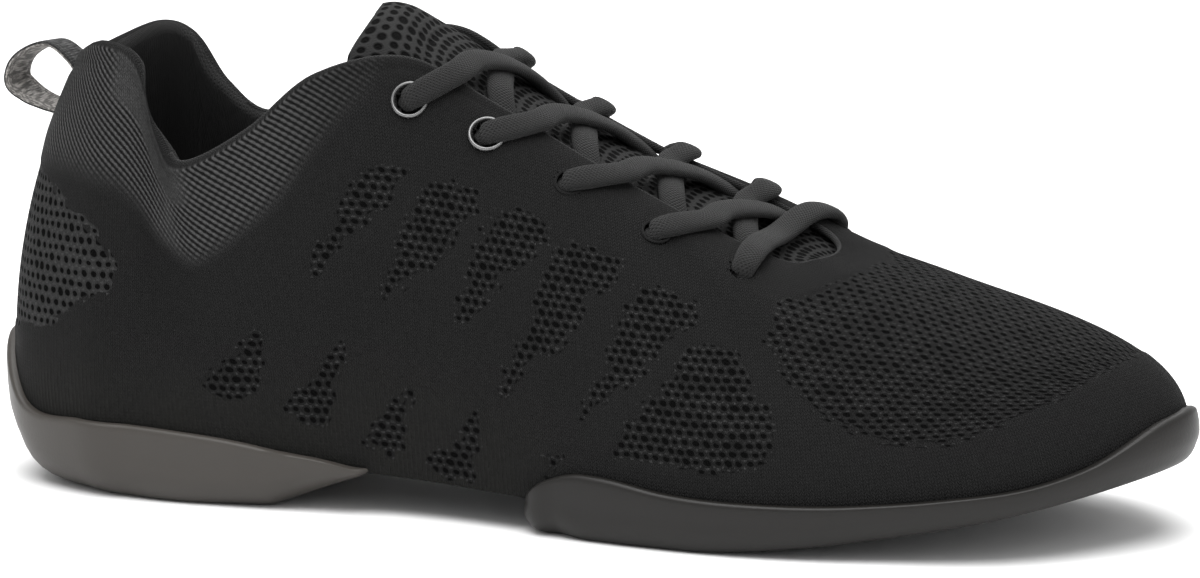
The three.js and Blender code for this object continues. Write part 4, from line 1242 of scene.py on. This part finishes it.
laces = {
    "wide": 6.4,
    "thick": 2.8,
    "gap": 0.3,
    "run": (0.66, 0.81, 1.05, 1.2, 1.32), # steps forward at the near edge, over the throat, at the far edge
    "grey": 0.0135,
    "pick": 0.8,
}


def overThroat(u, t, lift):
    return crownPoint(u, t, 0.0) + crownUp(u, t) * lift, crownUp(u, t)


def strandPath(pair, outerSide, lift):
    place = eyeletPlace(pair, outerSide)
    centre, normal = place["centre"], place["normal"]
    step = (eyelets["lowStation"] - eyelets["topStation"]) / (eyelets["pairs"] - 1)
    here = eyelets["topStation"] + step * pair

    def at(run, t, high):
        across = t if outerSide else 1 - t
        return overThroat(here + step * laces["run"][run] + eyelets["innerShift"] * across, across, high)

    edge, edgeUp = at(0, 0.02, 0)
    flapTop = wallAt(here, 1.0) + tongue["gap"] + laces["thick"] / 2 + laces["gap"]
    far = eyeletPlace(pair + 1, not outerSide)
    hidden = far["centre"] - far["normal"] * (shoe["knitWall"] + 3.0)
    w, h = laces["wide"], laces["thick"]
    knots = [
        (centre - normal * 8 - place["up"] * 2, normal, w * 0.8, h),
        (centre - normal * 4, normal, w * 0.8, h * 1.1),
        (centre + normal * 0.3, normal, w * 0.84, h * 1.15),
        (centre * 0.65 + edge * 0.35 + normal * flapTop * 0.6, normal, w * 0.97, h),
        (edge + edgeUp * flapTop, edgeUp, w, h),
        (*at(1, 0.24, lift + 0.4), w, h),
        (*at(2, 0.5, lift), w * 1.02, h * 0.92),
        (*at(3, 0.78, h * 0.62 + laces["gap"]), w, h),
        (*at(4, 1.0, -1.0), w * 0.97, h),
        (hidden * 0.5 + at(4, 1.0, -1.6)[0] * 0.5, far["normal"], w * 0.95, h),
    ]
    return knots


def barPath():
    pair = eyelets["pairs"] - 1
    run = (eyelets["lowStation"] - eyelets["topStation"]) / pair * laces["run"][0]
    lift = laces["thick"] * 0.5 + laces["gap"]
    w, h = laces["wide"], laces["thick"]

    def half(outerSide):
        place = eyeletPlace(pair, outerSide)
        centre, normal = place["centre"], place["normal"]
        station = eyelets["lowStation"] + run * 0.55 + (0 if outerSide else eyelets["innerShift"])
        high = shoe["knitWall"] + tongue["gap"] + lift
        edge, edgeUp = overThroat(station, 0.02 if outerSide else 0.98, high)
        return [
            (centre - normal * 8 - place["up"] * 2, normal, w * 0.8, h),
            (centre - normal * 4, normal, w * 0.8, h * 1.1),
            (centre + normal * 0.3, normal, w * 0.84, h * 1.15),
            (centre * 0.62 + edge * 0.38 + normal * lift * 1.1, normal, w, h),
            (edge, edgeUp, w, h),
        ]

    crest = (*overThroat(eyelets["lowStation"] + run + eyelets["innerShift"] / 2, 0.5, lift + 0.5), w, h)
    return [*half(True), crest, *half(False)[::-1]]


def makeLaceMaterial():
    material, tree = newMaterial("laceBraid", 0.8, sheen=0.05, specular=0.2)
    braid = useGroup(tree, braidGroup, Place=uvPlace(tree, "weave"), Pick=laces["pick"])["Height"]
    # uneven tone from the noise, times painted shade between the braid's strands
    shade = noiseValue(objectPlace(tree), 700).scaled(0.5, 0.75) * braid.scaled(0.6, 0.45)
    dress(tree, mixColour(shade, grey(0.003), grey(laces["grey"])), bumpNormal(braid, 0.00035))
    return material


def makeLace(name, knots, nodes, material):
    path, ups, widths, heights = [np.array(values, float) for values in zip(*knots)]
    piece = sweep(name, path, ups, widths, heights, steps=120)
    coverWith(piece, material)
    finishPiece(piece, nodes)


laceBraid = makeLaceMaterial()
for pair in range(eyelets["pairs"] - 1):
    node = f"lace_crossing_{pair + 1}"
    low = laces["thick"] * 0.5 + laces["gap"]
    high = laces["thick"] * 1.35 + laces["gap"]
    makeLace(f"lace_inner_{pair + 1}", strandPath(pair, False, low), [node], laceBraid)
    makeLace(f"lace_outer_{pair + 1}", strandPath(pair, True, high), [node], laceBraid)
makeLace("lace_bar_braid", barPath(), ["lace_bar"], laceBraid)


rings = {"grey": 0.16}


# A turned ring from a closed profile of radius and height, at an eyelet's place.
def latheAt(name, place, profile, steps=64):
    profile = np.array(profile, float)
    side = unit(np.cross(place["up"], place["normal"]))
    top = np.cross(place["normal"], side)
    angle = np.linspace(0, 2 * math.pi, steps + 1)
    radial = side * np.cos(angle)[:, None] + top * np.sin(angle)[:, None]
    points = place["centre"] + radial[None] * profile[:, None, :1] + place["normal"] * profile[:, None, 1:]
    around = angle[None] * 3.4 + profile[:, :1] * 0
    across = np.arange(len(profile))[:, None] * 0.4 + angle[None] * 0
    return loft(name, points, uvs={"weave": np.stack([around, across], -1)})


def circleProfile(radius, height, thick, steps=12):
    angle = np.linspace(0, 2 * math.pi, steps + 1)
    return [(radius + thick * math.cos(a), height + thick * math.sin(a)) for a in angle]


def makeHoleThread():
    material, tree = newMaterial("holeThread", 0.85, specular=0.15)
    braid = useGroup(tree, braidGroup, Place=uvPlace(tree, "weave"), Pick=0.6)["Height"]
    # painted shade between the thread's strands
    dress(tree, mixColour(braid, grey(gapShadeGrey), grey(knit["yarn"])), bumpNormal(braid, 0.0003))
    return material


def makeEyelets():
    holeThread = makeHoleThread()
    metal, tree = newMaterial("gunMetal", 0.32, specular=0.5)
    tree.nodes["Principled BSDF"].inputs["Metallic"].default_value = 0.85
    worn = noiseValue(objectPlace(tree), 500, detail=3)
    colour = mixColour(worn, grey(rings["grey"] * 0.8), grey(rings["grey"] * 1.3))
    dress(tree, colour, roughness=worn.scaled(0.2, 0.22))
    profile = [(3.3, -2.0), (3.4, 0.2), (3.5, 0.55), (3.68, 0.8), (3.9, 0.9), (4.12, 0.8), (4.3, 0.55),
               (4.35, 0.25), (4.2, 0.0), (3.7, -0.2), (3.6, -2.0), (3.3, -2.0)]
    for pair in range(eyelets["pairs"]):
        for side, outerSide in (("lateral", True), ("medial", False)):
            spot = eyeletPlace(pair, outerSide)
            if pair < eyelets["ringed"]:
                piece = latheAt(f"ring_{side}_{pair + 1}", spot, profile)
                coverWith(piece, metal)
                finishPiece(piece, [f"eyelet_{side}_{pair + 1}"])
            else:
                piece = latheAt(f"buttonhole_{side}_{pair + 1}", spot, circleProfile(3.2, -0.15, 0.35))
                coverWith(piece, holeThread)
                finishPiece(piece)


makeEyelets()


print("stage: throat binding")

binding = {"from": 4.5, "to": 23.5, "wide": 1.7, "points": 96, "steps": 620}


def makeBinding():
    u = np.linspace(binding["from"], binding["to"], binding["points"])
    path = rimPoint(u, 1.35, -0.35)
    ups = skinUp(u, 1.0)
    widths = np.full(len(u), binding["wide"])
    steps = binding["steps"]
    piece = sweep("throat_binding", path, ups, widths, widths * 0.9, steps=steps, around=12, flat=2.0)
    coverWith(piece, laceBraid)
    finishPiece(piece)


makeBinding()


print("stage: pull loop")

loop = {
    "wide": 11,
    "thick": 1.3,
    "reach": 13.2,
    "high": 0.889,
    "low": 0.812,
    "crown": 7,
    "twist": 0.1,
    # name, grey, warmth and the darkest and palest yarn as shares of the grey
    "faces": (("loopBlack", 0.02, 0.0, 0.5, 2.6), ("loopGrey", 0.36, 0.05, 0.35, 1.2)),
}


def makeLoop():
    high = skin(0.0, shareAtHeight(0.0, loop["high"] * shoe["instep"]))
    low = skin(0.0, shareAtHeight(0.0, loop["low"] * shoe["instep"]))
    back = (high[0] + low[0]) / 2 - loop["reach"]
    middle = np.array([(back + high[0]) / 2, 0, (high[2] + low[2]) / 2])
    drop = high[2] - low[2]
    path = np.array([
        [high[0] + 4, 0, high[2] - 1.5],
        [high[0] - 0.5, 0, high[2] + loop["crown"] * 0.6],
        [high[0] - loop["reach"] * 0.42, 0, high[2] + loop["crown"]],
        [back + 1.6, 0, high[2] + loop["crown"] * 0.45],
        [back, 0, high[2] - drop * 0.25],
        [back + 3.4, 0, low[2] + drop * 0.35],
        [low[0] - loop["reach"] * 0.3, 0, low[2] + drop * 0.12],
        [low[0] + 4, 0, low[2] - 1],
    ])
    ups = unit(path - middle)
    ups[:, 1] += loop["twist"] * np.sin(np.linspace(0, math.pi, len(path)))
    widths = np.full(len(path), loop["wide"], float)
    heights = widths * 0 + loop["thick"]
    piece = sweep("loop_tape", path, unit(ups), widths, heights, steps=90, around=32, flat=6)
    outerFace = []
    layer = piece.data.uv_layers["weave"].data
    half = (widths.mean() * 2 + loop["thick"]) / 2
    for face in piece.data.polygons:
        girth = np.mean([layer[k].uv[1] for k in face.loop_indices])
        outerFace.append(0 if girth < half else 1)
    materials = []
    for name, level, warm, dark, light in loop["faces"]:
        material, tree = newMaterial(name, 0.75, specular=0.3)
        place = uvPlace(tree, "weave")
        ribs = useGroup(tree, ribGroup, Place=place, Pitch=0.7, Lean=0.0)["Height"]
        height = ribs * useGroup(tree, ribGroup, Place=place, Pitch=0.8, Lean=math.pi / 2)["Height"]
        melange = stepBetween(noiseValue(place, 0.9, detail=3), 0.42, 0.62)
        pale = mixColour(melange, grey(level * dark, warm), grey(level * light, warm))
        # painted shade in the grooves between the tape's ribs
        colour = mixColour(height.scaled(0.4, 0.65), grey(level * 0.2, warm), pale)
        dress(tree, colour, bumpNormal(height, 0.00025))
        materials.append(material)
    coverWith(piece, *materials)
    piece.data.polygons.foreach_set("material_index", outerFace)
    finishPiece(piece, ["pull_loop"])


makeLoop()


print("stage: sizes")
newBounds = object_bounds()
print("sizes", [[round(x, 4) for x in c] for c in (*cadBounds, *newBounds)])
